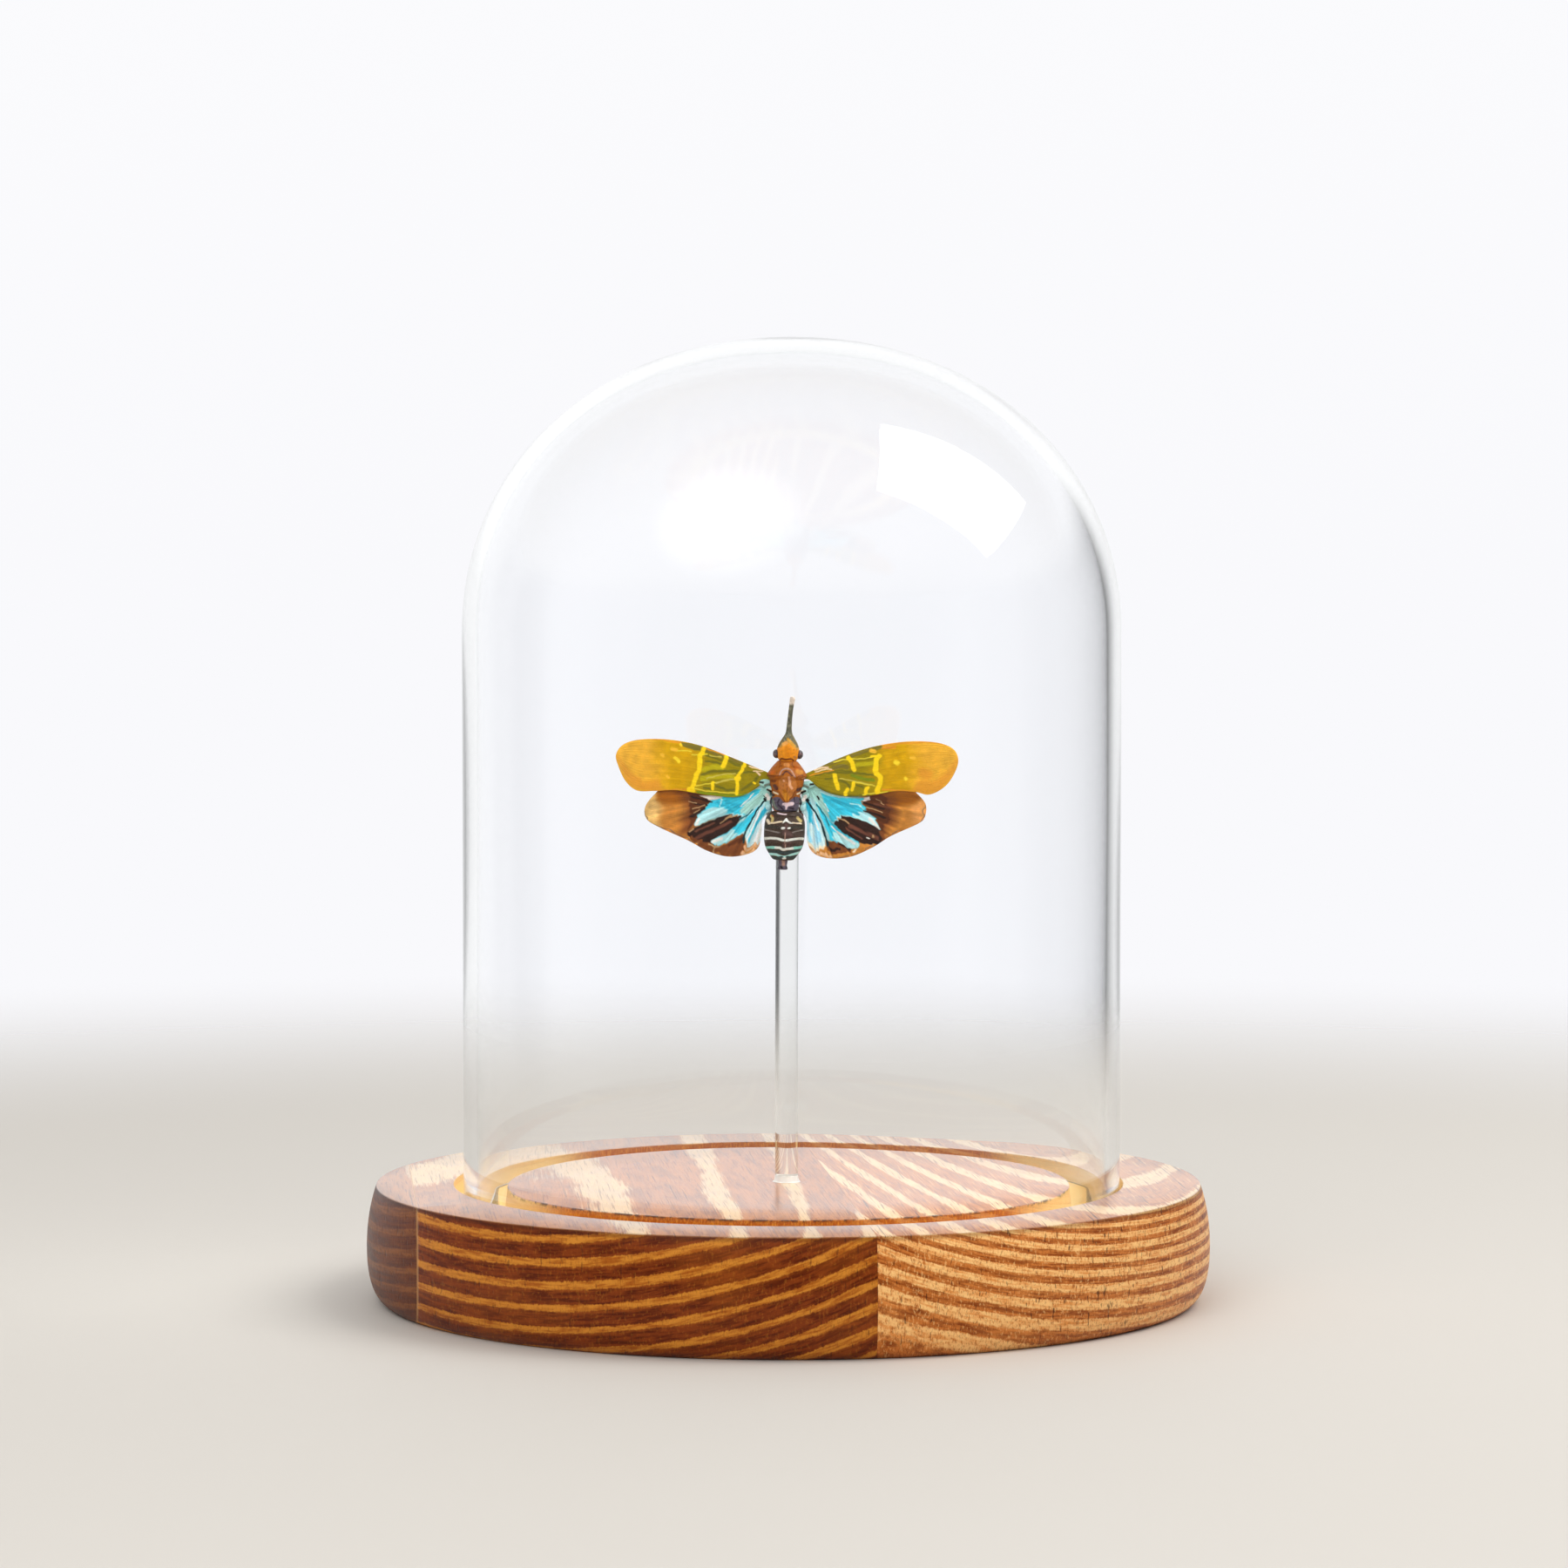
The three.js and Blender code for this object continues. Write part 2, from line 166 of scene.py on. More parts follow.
class Skin:
    """Closed surfaces in millimetres, gathered into one mesh."""

    def __init__(self) -> None:
        """Starts with nothing."""
        self.points: list[Array] = []
        self.quads: list[Array] = []
        self.fans: list[Array] = []
        self.tints: list[Array] = []
        self.count = 0

    def add(self, rings: Array, tints: Array | None = None, looped: bool = False) -> "Skin":
        """Adds one closed surface: rings of points joined row to row, with each end closed by a fan.

        Args:
            rings: rows x columns x 3, each row one ring. A first or last row on a single point
                is that end's pole; otherwise the pole is the middle of the row.
            tints: rows x columns x 3 screen colours from 0 to 255, white where left out.
            looped: the last row joins the first, and there are no poles.

        Returns:
            This skin, so that calls can follow one another.
        """
        if tints is None:
            tints = np.full(rings.shape, 255.0)
        poles, pole_tints = [], []
        if not looped:
            for end in (0, -1):
                poles.append(rings[end].mean(axis=0))
                pole_tints.append(tints[end].mean(axis=0))
            first, last = (int(np.ptp(rings[end], axis=0).max() < TOUCH) for end in (0, -1))
            last = len(rings) - last
            rings, tints = rings[first:last], tints[first:last]
        rows, columns = rings.shape[:2]
        index = self.count + np.arange(rows * columns).reshape(rows, columns)
        upper = np.roll(index, -1, axis=0) if looped else index[1:]
        lower = index if looped else index[:-1]
        quads = np.stack([lower, np.roll(lower, -1, 1), np.roll(upper, -1, 1), upper], -1).reshape(-1, 4)
        fans = np.empty((0, 3), int)
        points = np.vstack([rings.reshape(-1, 3), *[p[None] for p in poles]])
        if not looped:
            foot, top = self.count + rows * columns, self.count + rows * columns + 1
            ends = [(np.roll(index[0], -1), index[0], foot), (index[-1], np.roll(index[-1], -1), top)]
            fans = np.vstack([np.stack([a, b, np.full(columns, pole)], 1) for a, b, pole in ends])
        if self._volume(points, quads - self.count, fans - self.count) < 0:
            quads, fans = quads[:, ::-1], fans[:, ::-1]
        self.points.append(points)
        self.tints.append(np.vstack([tints.reshape(-1, 3), *[t[None] for t in pole_tints]]))
        self.quads.append(quads)
        self.fans.append(fans)
        self.count += len(points)
        return self

    @staticmethod
    def _volume(points: Array, quads: Array, fans: Array) -> float:
        """Six times the volume inside the faces: the sum of a . (b x c) over their triangles."""
        triangles = np.vstack([quads[:, :3], quads[:, [0, 2, 3]], fans])
        a, b, c = (points[triangles[:, i]] for i in range(3))
        return float(np.einsum("ij,ij->i", a, np.cross(b, c)).sum())

    def mesh(self, name: str) -> bpy.types.Mesh:
        """The mesh, in metres, smooth-shaded, with the tints as a point colour attribute."""
        quads, fans = np.vstack(self.quads), np.vstack(self.fans)
        corners = np.concatenate([quads.ravel(), fans.ravel()]).astype(np.int32)
        starts = np.concatenate([
            np.arange(len(quads)) * 4, len(quads) * 4 + np.arange(len(fans)) * 3
        ]).astype(np.int32)
        mesh = bpy.data.meshes.new(name)
        mesh.vertices.add(self.count)
        mesh.vertices.foreach_set("co", (np.vstack(self.points) * MM).astype(np.float32).ravel())
        mesh.loops.add(len(corners))
        mesh.loops.foreach_set("vertex_index", corners)
        mesh.polygons.add(len(starts))
        mesh.polygons.foreach_set("loop_start", starts)
        mesh.update(calc_edges=True)
        mesh.validate()
        mesh.polygons.foreach_set("use_smooth", np.ones(len(mesh.polygons), bool))
        layer = mesh.color_attributes.new("tint", "FLOAT_COLOR", "POINT")
        layer.data.foreach_set("color", lit(np.vstack(self.tints)).astype(np.float32).ravel())
        return mesh


def turned(profile: Array, segments: int, centre: Array | Spot = (0.0, 0.0)) -> Array:
    """A lathe: each profile point (radius, height) carried round a vertical axis.

    Args:
        profile: points as radius and height, one a row.
        segments: how many columns the turn has.
        centre: the axis as x and y, one for all or one for each profile point.

    Returns:
        The rings, one for each point.
    """
    angle = np.linspace(0, 2 * math.pi, segments, endpoint=False)
    middle = np.broadcast_to(np.asarray(centre, float), (len(profile), 2))
    x = middle[:, :1] + profile[:, :1] * np.cos(angle)
    y = middle[:, 1:] + profile[:, :1] * np.sin(angle)
    return np.stack([x, y, np.broadcast_to(profile[:, 1:], x.shape)], -1)


def tube(path: Array, radii: Array, sides: int = 12) -> Array:
    """A round bar along a path: rings square to it, without a twist.

    Args:
        path: its middle line, one point a row.
        radii: the radius at each point.
        sides: how many columns go round it.

    Returns:
        The rings, one for each point.
    """
    along = np.gradient(path, axis=0)
    along /= np.linalg.norm(along, axis=1, keepdims=True)
    side = np.cross(along, [0.31, 0.17, 0.93])
    side -= (side * along).sum(1, keepdims=True) * along
    side /= np.linalg.norm(side, axis=1, keepdims=True)
    other = np.cross(along, side)
    angle = np.linspace(0, 2 * math.pi, sides, endpoint=False)[None, :, None]
    spokes = np.cos(angle) * side[:, None] + np.sin(angle) * other[:, None]
    return path[:, None] + radii[:, None, None] * spokes


def ball(centre: Array | tuple[float, ...], half: Spot3, sides: int = 24) -> Array:
    """An ellipsoid: rings of latitude round the vertical axis, scaled by its half sizes."""
    lift = np.linspace(-math.pi / 2, math.pi / 2, sides // 2 + 1)
    rings = turned(np.stack([np.cos(lift), np.sin(lift)], 1), sides)
    rings[[0, -1], :, :2] = 0
    return rings * np.asarray(half) + np.asarray(centre)


def lumpy(rings: Array, centre: Array | Spot3, swell: float, pitch: float, seed: int, shift: float) -> Array:
    """A ball's rings swelled and shrunk by this share, by noise over its front view."""
    spots = rings.reshape(-1, 3)
    grown = 1 + swell * ripple(spots[:, [0, 2]] + shift, pitch, seed)
    return ((spots - centre) * grown[:, None] + centre).reshape(rings.shape)


# ---- shader graphs ----


class Wire:
    """A node's output that carries a number, whose operators add Math nodes."""

    def __init__(self, graph: "Graph", socket: bpy.types.NodeSocket) -> None:
        """Wraps one socket of a graph."""
        self.graph, self.socket = graph, socket

    def _math(self, operation: str, *terms: "Number") -> "Wire":
        """One Math node on the given terms, in their order."""
        return self.graph.wire("ShaderNodeMath", {"operation": operation}, dict(enumerate(terms)))

    def __add__(self, other: "Number") -> "Wire":
        """self + other."""
        return self._math("ADD", self, other)

    def __sub__(self, other: "Number") -> "Wire":
        """self - other."""
        return self._math("SUBTRACT", self, other)

    def __rsub__(self, other: "Number") -> "Wire":
        """other - self."""
        return self._math("SUBTRACT", other, self)

    def __mul__(self, other: "Number") -> "Wire":
        """self * other."""
        return self._math("MULTIPLY", self, other)

    def __truediv__(self, other: "Number") -> "Wire":
        """self / other."""
        return self._math("DIVIDE", self, other)

    __radd__, __rmul__ = __add__, __mul__

    def root(self) -> "Wire":
        """The square root."""
        return self._math("SQRT", self)

    def size(self) -> "Wire":
        """The value without its sign."""
        return self._math("ABSOLUTE", self)

    def fraction(self) -> "Wire":
        """What is left over the whole number below."""
        return self._math("FRACT", self)

    def most(self, other: "Number") -> "Wire":
        """The larger of two."""
        return self._math("MAXIMUM", self, other)

    def ramp(self, low: float, high: float, at_low: float = 0.0, at_high: float = 1.0) -> "Wire":
        """A smooth step from at_low, at low or less, to at_high, at high or more."""
        ends = {"Value": self, "From Min": low, "From Max": high, "To Min": at_low, "To Max": at_high}
        return self.graph.wire("ShaderNodeMapRange", {"interpolation_type": "SMOOTHSTEP"}, ends)


Number = Wire | float


class Graph:
    """The nodes of one material or world."""

    def __init__(self, block: Block) -> None:
        """Empties the block's node tree."""
        self.block = block
        block.use_nodes = True
        self.tree = block.node_tree
        self.tree.nodes.clear()

    def node(self, kind: str, settings: dict | None = None, inputs: dict | None = None) -> bpy.types.Node:
        """Adds a node of any type.

        Args:
            kind: the node's type.
            settings: its properties, set first.
            inputs: values or links for its sockets, by name or number.

        Returns:
            The node.
        """
        made = self.tree.nodes.new(kind)
        for key, value in (settings or {}).items():
            setattr(made, key, value)
        for key, value in (inputs or {}).items():
            if isinstance(value, Wire):
                value = value.socket
            if isinstance(value, bpy.types.NodeSocket):
                self.tree.links.new(value, made.inputs[key])
            else:
                made.inputs[key].default_value = value
        return made

    def wire(
        self, kind: str, settings: dict | None = None, inputs: dict | None = None, output: int | str = 0
    ) -> Wire:
        """Adds a node and wraps one of its outputs."""
        return Wire(self, self.node(kind, settings, inputs).outputs[output])

    def place(self, turn: float = 0.0) -> Wire:
        """Object coordinates in millimetres, turned about z by so many degrees."""
        spot = self.wire("ShaderNodeTexCoord", output="Object")
        return self.wire("ShaderNodeMapping", {"vector_type": "POINT"}, {
            "Vector": spot, "Rotation": (0.0, 0.0, math.radians(turn)), "Scale": (1 / MM, 1 / MM, 1 / MM),
        })

    def stretched(self, vector: Wire, scale: Spot3) -> Wire:
        """A vector multiplied part by part."""
        return self.wire("ShaderNodeVectorMath", {"operation": "MULTIPLY"}, {0: vector, 1: scale})

    def parts(self, vector: Wire) -> tuple[Wire, Wire, Wire]:
        """A vector's x, y and z."""
        made = self.node("ShaderNodeSeparateXYZ", None, {0: vector})
        return tuple(Wire(self, socket) for socket in made.outputs)

    def noise(self, vector: Wire, scale: float, detail: float = 2.0, rough: float = 0.5) -> Wire:
        """Perlin noise of about 0 to 1, with this many lumps to a unit of the vector."""
        knobs = {"Vector": vector, "Scale": scale, "Detail": detail, "Roughness": rough}
        return self.wire("ShaderNodeTexNoise", {"noise_dimensions": "3D"}, knobs)

    def grain(self, place: Wire, pitch: Spot3, detail: float, rough: float = 0.5) -> Wire:
        """Noise with this many lumps to a millimetre across, along and up."""
        return self.noise(self.stretched(place, pitch), 1.0, detail, rough)

    def blend(self, factor: Number, low: Wire | Colour, high: Wire | Colour, kind: str = "MIX") -> Wire:
        """Two colours mixed by a factor, or combined in another of the Mix node's ways."""
        settings = {"data_type": "RGBA", "blend_type": kind}
        return self.wire("ShaderNodeMix", settings, {0: factor, 6: low, 7: high}, output=2)

    def tint(self) -> Wire:
        """The colour painted on the mesh."""
        return self.wire("ShaderNodeAttribute", {"attribute_name": "tint"}, output="Color")

    def bump(self, height: Wire, depth: float, onto: Wire | None = None) -> Wire:
        """Relief from a height of 0 to 1, so many millimetres deep, over another relief if given."""
        sockets = {"Height": height, "Distance": depth * MM}
        if onto is not None:
            sockets["Normal"] = onto
        return self.wire("ShaderNodeBump", None, sockets, output="Normal")

    def principled(self, **sockets: Wire | float | Colour) -> Wire:
        """A Principled shader, its sockets named with _ for a space."""
        named = {name.replace("_", " "): value for name, value in sockets.items()}
        return self.wire("ShaderNodeBsdfPrincipled", None, named)

    def finish(self, shader: Wire, output: str = "ShaderNodeOutputMaterial") -> Block:
        """Ends the graph in this shader."""
        self.node(output, None, {"Surface": shader})
        return self.block


def begun(name: str) -> tuple[Graph, Wire]:
    """A new material's graph, and places on the object in millimetres."""
    g = Graph(bpy.data.materials.new(name))
    return g, g.place()


# ---- finishes ----


@dataclass(frozen=True)
class Rings:
    """How one board's growth rings lie, in its own frame: across it, along it, and up.

    A ring's number grows with its distance from the tree's middle, which is a line leaning a
    little in the board: number = sum of terms[i] * ((distance - start) / 10)^i, where
    distance = sqrt(squash * across^2 + up^2), measured from that line.
    """

    middle: float
    middle_drift: float
    height: float
    height_drift: float
    squash: float
    start: float
    terms: tuple[float, ...]
    light_share: float
    waver: float


@dataclass(frozen=True)
class PineFinish:
    """Torched and stained pine: dark bands, pale ring lines, streaks along the rings, satin varnish, and
    painted glare that lightens its upper face.
    """

    name: str
    rings: Rings
    turn: float = -5.5
    seam_turn: float = -5.0
    seam: float = -57.9
    dark: Colour = linear(86, 28, 1)
    dark_red: Colour = linear(128, 55, 12)
    light: Colour = linear(206, 132, 44)
    light_warm: Colour = linear(164, 86, 20)
    # Painted glare: the upper face's pale lines are lightened towards this tone, and its early wood towards
    # the next, for the sheen of the bright backdrop seen at a grazing angle.
    deck_glare_pale: Colour = linear(250, 226, 178)
    deck_glare_early: Colour = linear(196, 124, 58)
    contrast: float = 1.0
    halo: float = 0.5
    speckle: float = 0.35
    dashes: float = 0.45
    roughness: float = 0.42
    rim: float = 63.7

    def ring_number(self, g: Graph, across: Wire, along: Wire, up: Wire, lazy: Wire) -> Wire:
        """The growth ring at a spot, a whole number in the middle of each pale line."""
        r = self.rings
        out = across - (along * r.middle_drift + r.middle)
        rise = up - (along * r.height_drift + r.height)
        reach = ((out * out * r.squash + rise * rise).root() - r.start) / 10
        number = reach * r.terms[1] + r.terms[0] + (lazy - 0.5) * r.waver
        return number + reach * reach * r.terms[2] if len(r.terms) > 2 else number

    def material(self) -> bpy.types.Material:
        """Ring number, line and streak masks, then colour, gloss and relief."""
        g = Graph(bpy.data.materials.new(self.name))
        place = g.place(self.turn)
        across, along, up = g.parts(place)
        number = self.ring_number(g, across, along, up, g.noise(g.stretched(place, (1, 0.25, 1)), 0.07, 1.0))
        flow = g.wire("ShaderNodeCombineXYZ", None, {0: number * 7, 1: across * 0.3, 2: along * 0.09})
        streak = g.noise(flow, 1.0, 4.0, 0.62)
        fuzz = g.grain(place, (2.6, 0.10, 0.8), 3.0, 0.6)
        pores = g.grain(place, (4.2, 0.10, 1.3), 2.0, 0.7)
        checks = g.grain(place, (2.6, 0.05, 0.60), 1.0)
        flecks = g.grain(place, (3.4, 0.10, 1.5), 2.0, 0.6)
        cloud = g.noise(g.stretched(place, (1, 0.3, 1)), 0.10, 2.0)
        width = g.noise(g.stretched(place, (1, 0.4, 1)), 0.13, 1.0)
        line = (number + (fuzz - 0.5) * 0.20 + 0.5).fraction() - 0.5
        x, y, z = g.parts(g.place())
        deck = z.ramp(DECK - 0.25, DECK - 0.05)
        half = (width - 0.5) * 0.22 + self.rings.light_share / 2 * (1 - deck * 0.30)
        late = (line.size() - half).ramp(-0.03, 0.05, 1.0, 0.0) * self.contrast
        halo = (line - half).ramp(0.0, 0.20, self.halo, 0.0) * (line - half).ramp(-0.02, 0.01)
        early = g.blend(streak.ramp(0.36, 0.62), self.dark, self.dark_red)
        early = g.blend(halo * streak.ramp(0.3, 0.6, 0.2, 0.9), early, self.light_warm)
        early = g.blend(cloud.ramp(0.45, 0.75, 0.0, 0.30), early, self.light_warm)
        pale = g.blend(streak.ramp(0.34, 0.60), self.light_warm, self.light)
        pale = g.blend(pores.ramp(0.52, 0.70) * self.speckle, pale, self.dark_red)
        # Painted glare on the upper face: its early wood is lightened and its pale lines are whitened.
        early = g.blend(deck * streak.ramp(0.30, 0.66, 0.40, 0.82), early, self.deck_glare_early)
        wood = g.blend(late, early, g.blend(deck * 0.55, pale, self.deck_glare_pale))
        wood = g.blend(flecks.ramp(0.54, 0.68) * (deck * 0.3 + self.speckle * 0.55), wood, self.dark)
        wood = g.blend(flecks.ramp(0.32, 0.44, 1.0, 0.0) * self.speckle * 0.45, wood, self.light)
        wood = g.blend(checks.ramp(0.66, 0.74) * self.dashes, wood, linear(58, 28, 12))
        glue = (g.parts(g.place(self.seam_turn))[0] - self.seam).size().ramp(0.05, 0.20, 1.0, 0.0)
        wood = g.blend(glue * 0.45, wood, linear(216, 160, 98))
        ring = (x * x + y * y).root()
        middle, reach = (GROOVE[1] + GROOVE[0]) / 2, (GROOVE[1] - GROOVE[0]) / 2
        wall = (ring - middle).size().ramp(reach - 0.02, reach + 0.2, 1.0, 0.0)
        wall = wall * z.ramp(DECK - 0.16, DECK - 0.03, 1.0, 0.0) * z.ramp(13.5, 14.0)
        raw_wood_and_light = g.blend(pores.ramp(0.45, 0.65) * 0.7, linear(176, 88, 14), linear(226, 146, 46))
        # Painted light: the groove's raw wood is made paler on its floor and towards the ring's left and
        # right ends.
        floor = z.ramp(GROOVE_FLOOR + 0.05, GROOVE_FLOOR + 0.45, 1.0, 0.0)
        raw_wood_and_light = g.blend(floor.most(x.size().ramp(31.0, 41.0) * 0.85), raw_wood_and_light, linear(252, 218, 146))
        wood = g.blend(wall * (0.92 - late * 0.2), wood, raw_wood_and_light)
        char = (ring - GROOVE[0]).size().ramp(0.04, 0.34, 1.0, 0.0) * z.ramp(DECK - 0.5, DECK - 0.1)
        rim = (ring - self.rim).size().ramp(0.1, 0.5, 1.0, 0.0) * z.ramp(DECK - 1.0, DECK - 0.4)
        scorch = g.noise(g.stretched(place, (0.9, 0.25, 1)), 0.9, 3.0, 0.7).ramp(0.45, 0.58)
        wood = g.blend(char * scorch * 0.85 + rim * 0.4, wood, linear(48, 22, 8))
        relief = g.bump(late * 0.5 + streak * 0.6, 0.06)
        relief = g.bump(pores + checks.ramp(0.6, 0.75, 0.0, -0.8), 0.03, relief)
        gloss = pores * 0.14 + streak * 0.12 + (self.roughness - 0.13)
        shader = g.principled(
            Base_Color=wood, Roughness=gloss, Normal=relief, Specular_IOR_Level=0.12,
            Coat_Weight=deck * 0.9 + 0.08, Coat_Roughness=0.24,
        )
        return g.finish(shader)


@dataclass(frozen=True)
class ClearFinish:
    """Glass, clear plastic or glue. Shadow rays pass it, so that lamps light what is inside."""

    name: str
    ior: float
    tint: Colour
    roughness: float = 0.0
    wave: float = 0.0
    wave_pitch: float = 0.05
    smudge: float = 0.0
    milk: float = 0.0

    def material(self) -> bpy.types.Material:
        """A transmitting shader with slow ripples, and a see-through one for shadow rays."""
        g, place = begun(self.name)
        slow = g.noise(g.stretched(place, (1, 1, 0.35)), self.wave_pitch, 1.0)
        film = g.noise(place, 0.12, 3.0).ramp(0.62, 0.85)
        clear = g.principled(
            Base_Color=self.tint, Roughness=film * self.smudge + self.roughness, IOR=self.ior,
            Transmission_Weight=1.0 - self.milk, Normal=g.bump(slow, self.wave),
        )
        passing = g.wire("ShaderNodeBsdfTransparent", None, {"Color": self.tint})
        shadow = g.wire("ShaderNodeLightPath", output="Is Shadow Ray")
        return g.finish(g.wire("ShaderNodeMixShader", None, {0: shadow, 1: clear, 2: passing}))


@dataclass(frozen=True)
class CuticleFinish:
    """The insect's skin: painted colour, fine mottling, pits and a satin gloss."""

    name: str
    roughness: float = 0.45
    mottle: float = 0.3
    mottle_pitch: float = 2.2
    pit_depth: float = 0.03
    coat: float = 0.2
    hairs: float = 0.0

    def material(self) -> bpy.types.Material:
        """The painted tint lightened and darkened by noise, with pitted relief."""
        g, place = begun(self.name)
        spots = g.noise(place, self.mottle_pitch, 3.0, 0.6)
        grain = g.noise(place, self.mottle_pitch * 4.5, 2.0)
        tone = g.blend(spots.ramp(0.3, 0.5, self.mottle, 0.0), g.tint(), linear(40, 22, 12), "MIX")
        tone = g.blend(spots.ramp(0.52, 0.72, 0.0, self.mottle), tone, linear(255, 226, 180), "SOFT_LIGHT")
        tone = g.blend(grain.ramp(0.35, 0.65, 0.0, self.hairs), tone, linear(230, 210, 180))
        cells = g.wire("ShaderNodeTexVoronoi", None, {"Vector": place, "Scale": self.mottle_pitch * 3.4})
        relief = g.bump(cells.ramp(0.1, 0.5) + spots * 0.6, self.pit_depth)
        gloss = grain * 0.2 + (self.roughness - 0.1)
        shader = g.principled(
            Base_Color=tone, Roughness=gloss, Normal=relief, Specular_IOR_Level=0.12, Coat_Weight=self.coat)
        return g.finish(shader)


@dataclass(frozen=True)
class WingFinish:
    """Wing skin: painted colour, a net of fine veins, and a waxy sheen that passes some light."""

    name: str
    net_pitch: tuple[float, float]
    net_strength: float
    mottle: float
    glow: float
    net_tone: Colour
    roughness: float = 0.42

    def material(self) -> bpy.types.Material:
        """Tint, a net from the edges of stretched cells, speckle, and relief."""
        g, place = begun(self.name)
        flat = g.stretched(place, (self.net_pitch[0], 0.0, self.net_pitch[1]))
        net = g.wire("ShaderNodeTexVoronoi", {"feature": "DISTANCE_TO_EDGE"}, {"Vector": flat, "Scale": 1.0})
        thread = net.ramp(0.02, 0.11, 1.0, 0.0)
        spots = g.noise(place, 1.1, 3.0, 0.6)
        fine = g.grain(place, (2.0, 1.0, 5.0), 2.0)
        tone = g.blend(thread * self.net_strength, g.tint(), self.net_tone)
        tone = g.blend(spots.ramp(0.34, 0.56, self.mottle, 0.0), tone, self.net_tone)
        gleam = fine.ramp(0.5, 0.75, 0.0, self.mottle * 0.6)
        tone = g.blend(gleam, tone, linear(255, 240, 200), "SOFT_LIGHT")
        relief = g.bump(thread * 0.8 + fine * 0.5, 0.02)
        shader = g.principled(
            Base_Color=tone, Roughness=fine * 0.16 + (self.roughness - 0.08), Normal=relief,
            Subsurface_Weight=self.glow, Subsurface_Radius=(1.0, 0.8, 0.5), Subsurface_Scale=0.3 * MM,
            Specular_IOR_Level=0.08, Coat_Weight=0.02,
        )
        return g.finish(shader)


@dataclass(frozen=True)
class EyeFinish:
    """A compound eye: dark glossy skin under a net of tiny facets."""

    name: str
    dark: Colour = linear(48, 22, 24)
    pale: Colour = linear(150, 104, 96)

    def material(self) -> bpy.types.Material:
        """Cells for facets, a paler cloud, and a hard coat."""
        g, place = begun(self.name)
        cells = g.wire("ShaderNodeTexVoronoi", None, {"Vector": place, "Scale": 11.0})
        cloud = g.noise(place, 1.2, 2.0).ramp(0.45, 0.7, 0.0, 0.55)
        tone = g.blend(cloud, self.dark, self.pale)
        shader = g.principled(
            Base_Color=g.blend(cells.ramp(0.25, 0.5) * 0.5, tone, linear(24, 10, 10)),
            Roughness=cells * 0.2 + 0.16, Coat_Weight=0.6,
            Normal=g.bump(cells.ramp(0.1, 0.6, 1.0, 0.0), 0.03),
        )
        return g.finish(shader)


@dataclass(frozen=True)
class StageFinish:
    """The pale floor: matt, faintly mottled, and clear far out so that no horizon shows."""

    name: str
    tone: Colour
    fade_start: float
    fade_end: float

    def material(self) -> bpy.types.Material:
        """A pale tone whose alpha falls with distance from the middle."""
        g, place = begun(self.name)
        x, y, _ = g.parts(place)
        faint = g.noise(place, 0.01, 2.0)
        tone = g.blend(faint.ramp(0.3, 0.7, 0.0, 0.03), self.tone, linear(225, 222, 218))
        gone = (x * x + y * y).root().ramp(self.fade_start, self.fade_end, 1.0, 0.0)
        return g.finish(g.principled(Base_Color=tone, Roughness=faint * 0.1 + 0.7, Alpha=gone))


# ---- painting ----


class Tint(Enum):
    """The insect's colours and a few painted highlights, as screen red, green and blue."""

    AMBER_DEEP = (227, 157, 47)
    ANAL_BLUE = (150, 215, 238)
    ANAL_PALE = (200, 232, 235)
    BAND = (255, 215, 25)
    BAND_CYAN = (170, 232, 230)
    BAND_GREEN = (128, 206, 190)
    BAND_GREY = (120, 112, 106)
    BAND_PALE = (226, 230, 220)
    BLACK = (22, 20, 16)
    BLACK_BROWN = (46, 28, 22)
    BROWN_DARK = (90, 48, 24)
    BROWN_MID = (122, 68, 32)
    BROWN_RED = (110, 65, 50)
    BROWN_SPECKLED = (165, 95, 20)
    COPPER = (184, 112, 46)
    COPPER_GOLD = (200, 130, 30)
    # painted highlight streaks on the shield
    COPPER_HIGHLIGHT = (224, 166, 126)
    CREAM = (240, 222, 190)
    CYAN_DEEP = (45, 180, 210)
    CYAN_PALE = (182, 234, 236)
    HEAD_DEEP = (222, 132, 8)
    # painted highlight on the head's brow
    HEAD_HIGHLIGHT = (236, 165, 80)
    HEAD_OCHRE = (205, 150, 50)
    MARGIN_TAN = (222, 175, 130)
    MAROON = (85, 45, 35)
    MAROON_GREY = (78, 50, 50)
    MINT = (165, 215, 205)
    OCHRE_CREAM = (200, 180, 110)
    OLIVE_BRIGHT = (185, 172, 18)
    OLIVE_DARK = (112, 108, 26)
    OLIVE_GREEN = (122, 140, 22)
    OLIVE_GREY = (125, 112, 42)
    OLIVE_PALE = (200, 185, 80)
    ORANGE_EDGE = (225, 150, 40)
    PINK_GREY = (176, 138, 120)
    # the hinge plates' own pale pink, and a painted highlight on the hindwings just under the forewing's edge
    PINK_PALE_AND_HIGHLIGHT = (232, 222, 212)
    PINK_WHITE = (226, 202, 206)
    ROOT_PALE = (236, 205, 165)
    RUST = (162, 88, 10)
    RUST_DARK = (120, 58, 10)
    RUST_GOLD = (190, 125, 35)
    RUST_OCHRE = (165, 95, 5)
    RUST_PALE = (206, 134, 66)
    RUST_RED = (186, 90, 10)
    SNOUT_GREY = (105, 95, 60)
    SPOT = (250, 215, 50)
    SPOT_ORANGE = (245, 190, 55)
    STEEL = (92, 82, 96)
    STEEL_DARK = (50, 40, 55)
    STEEL_GREEN = (120, 130, 115)
    STREAK_TAN = (190, 152, 105)
    TEAL_BLACK = (18, 50, 56)
    TEAL_DARK = (30, 110, 120)
    TURQUOISE = (60, 202, 228)
    WHITE_TIP = (238, 240, 232)
    YELLOW_PALE = (225, 205, 60)

    def over(self, shape: tuple[int, ...]) -> Array:
        """The colour at every point of an array of this shape."""
        return np.broadcast_to(np.asarray(self.value, float), shape)


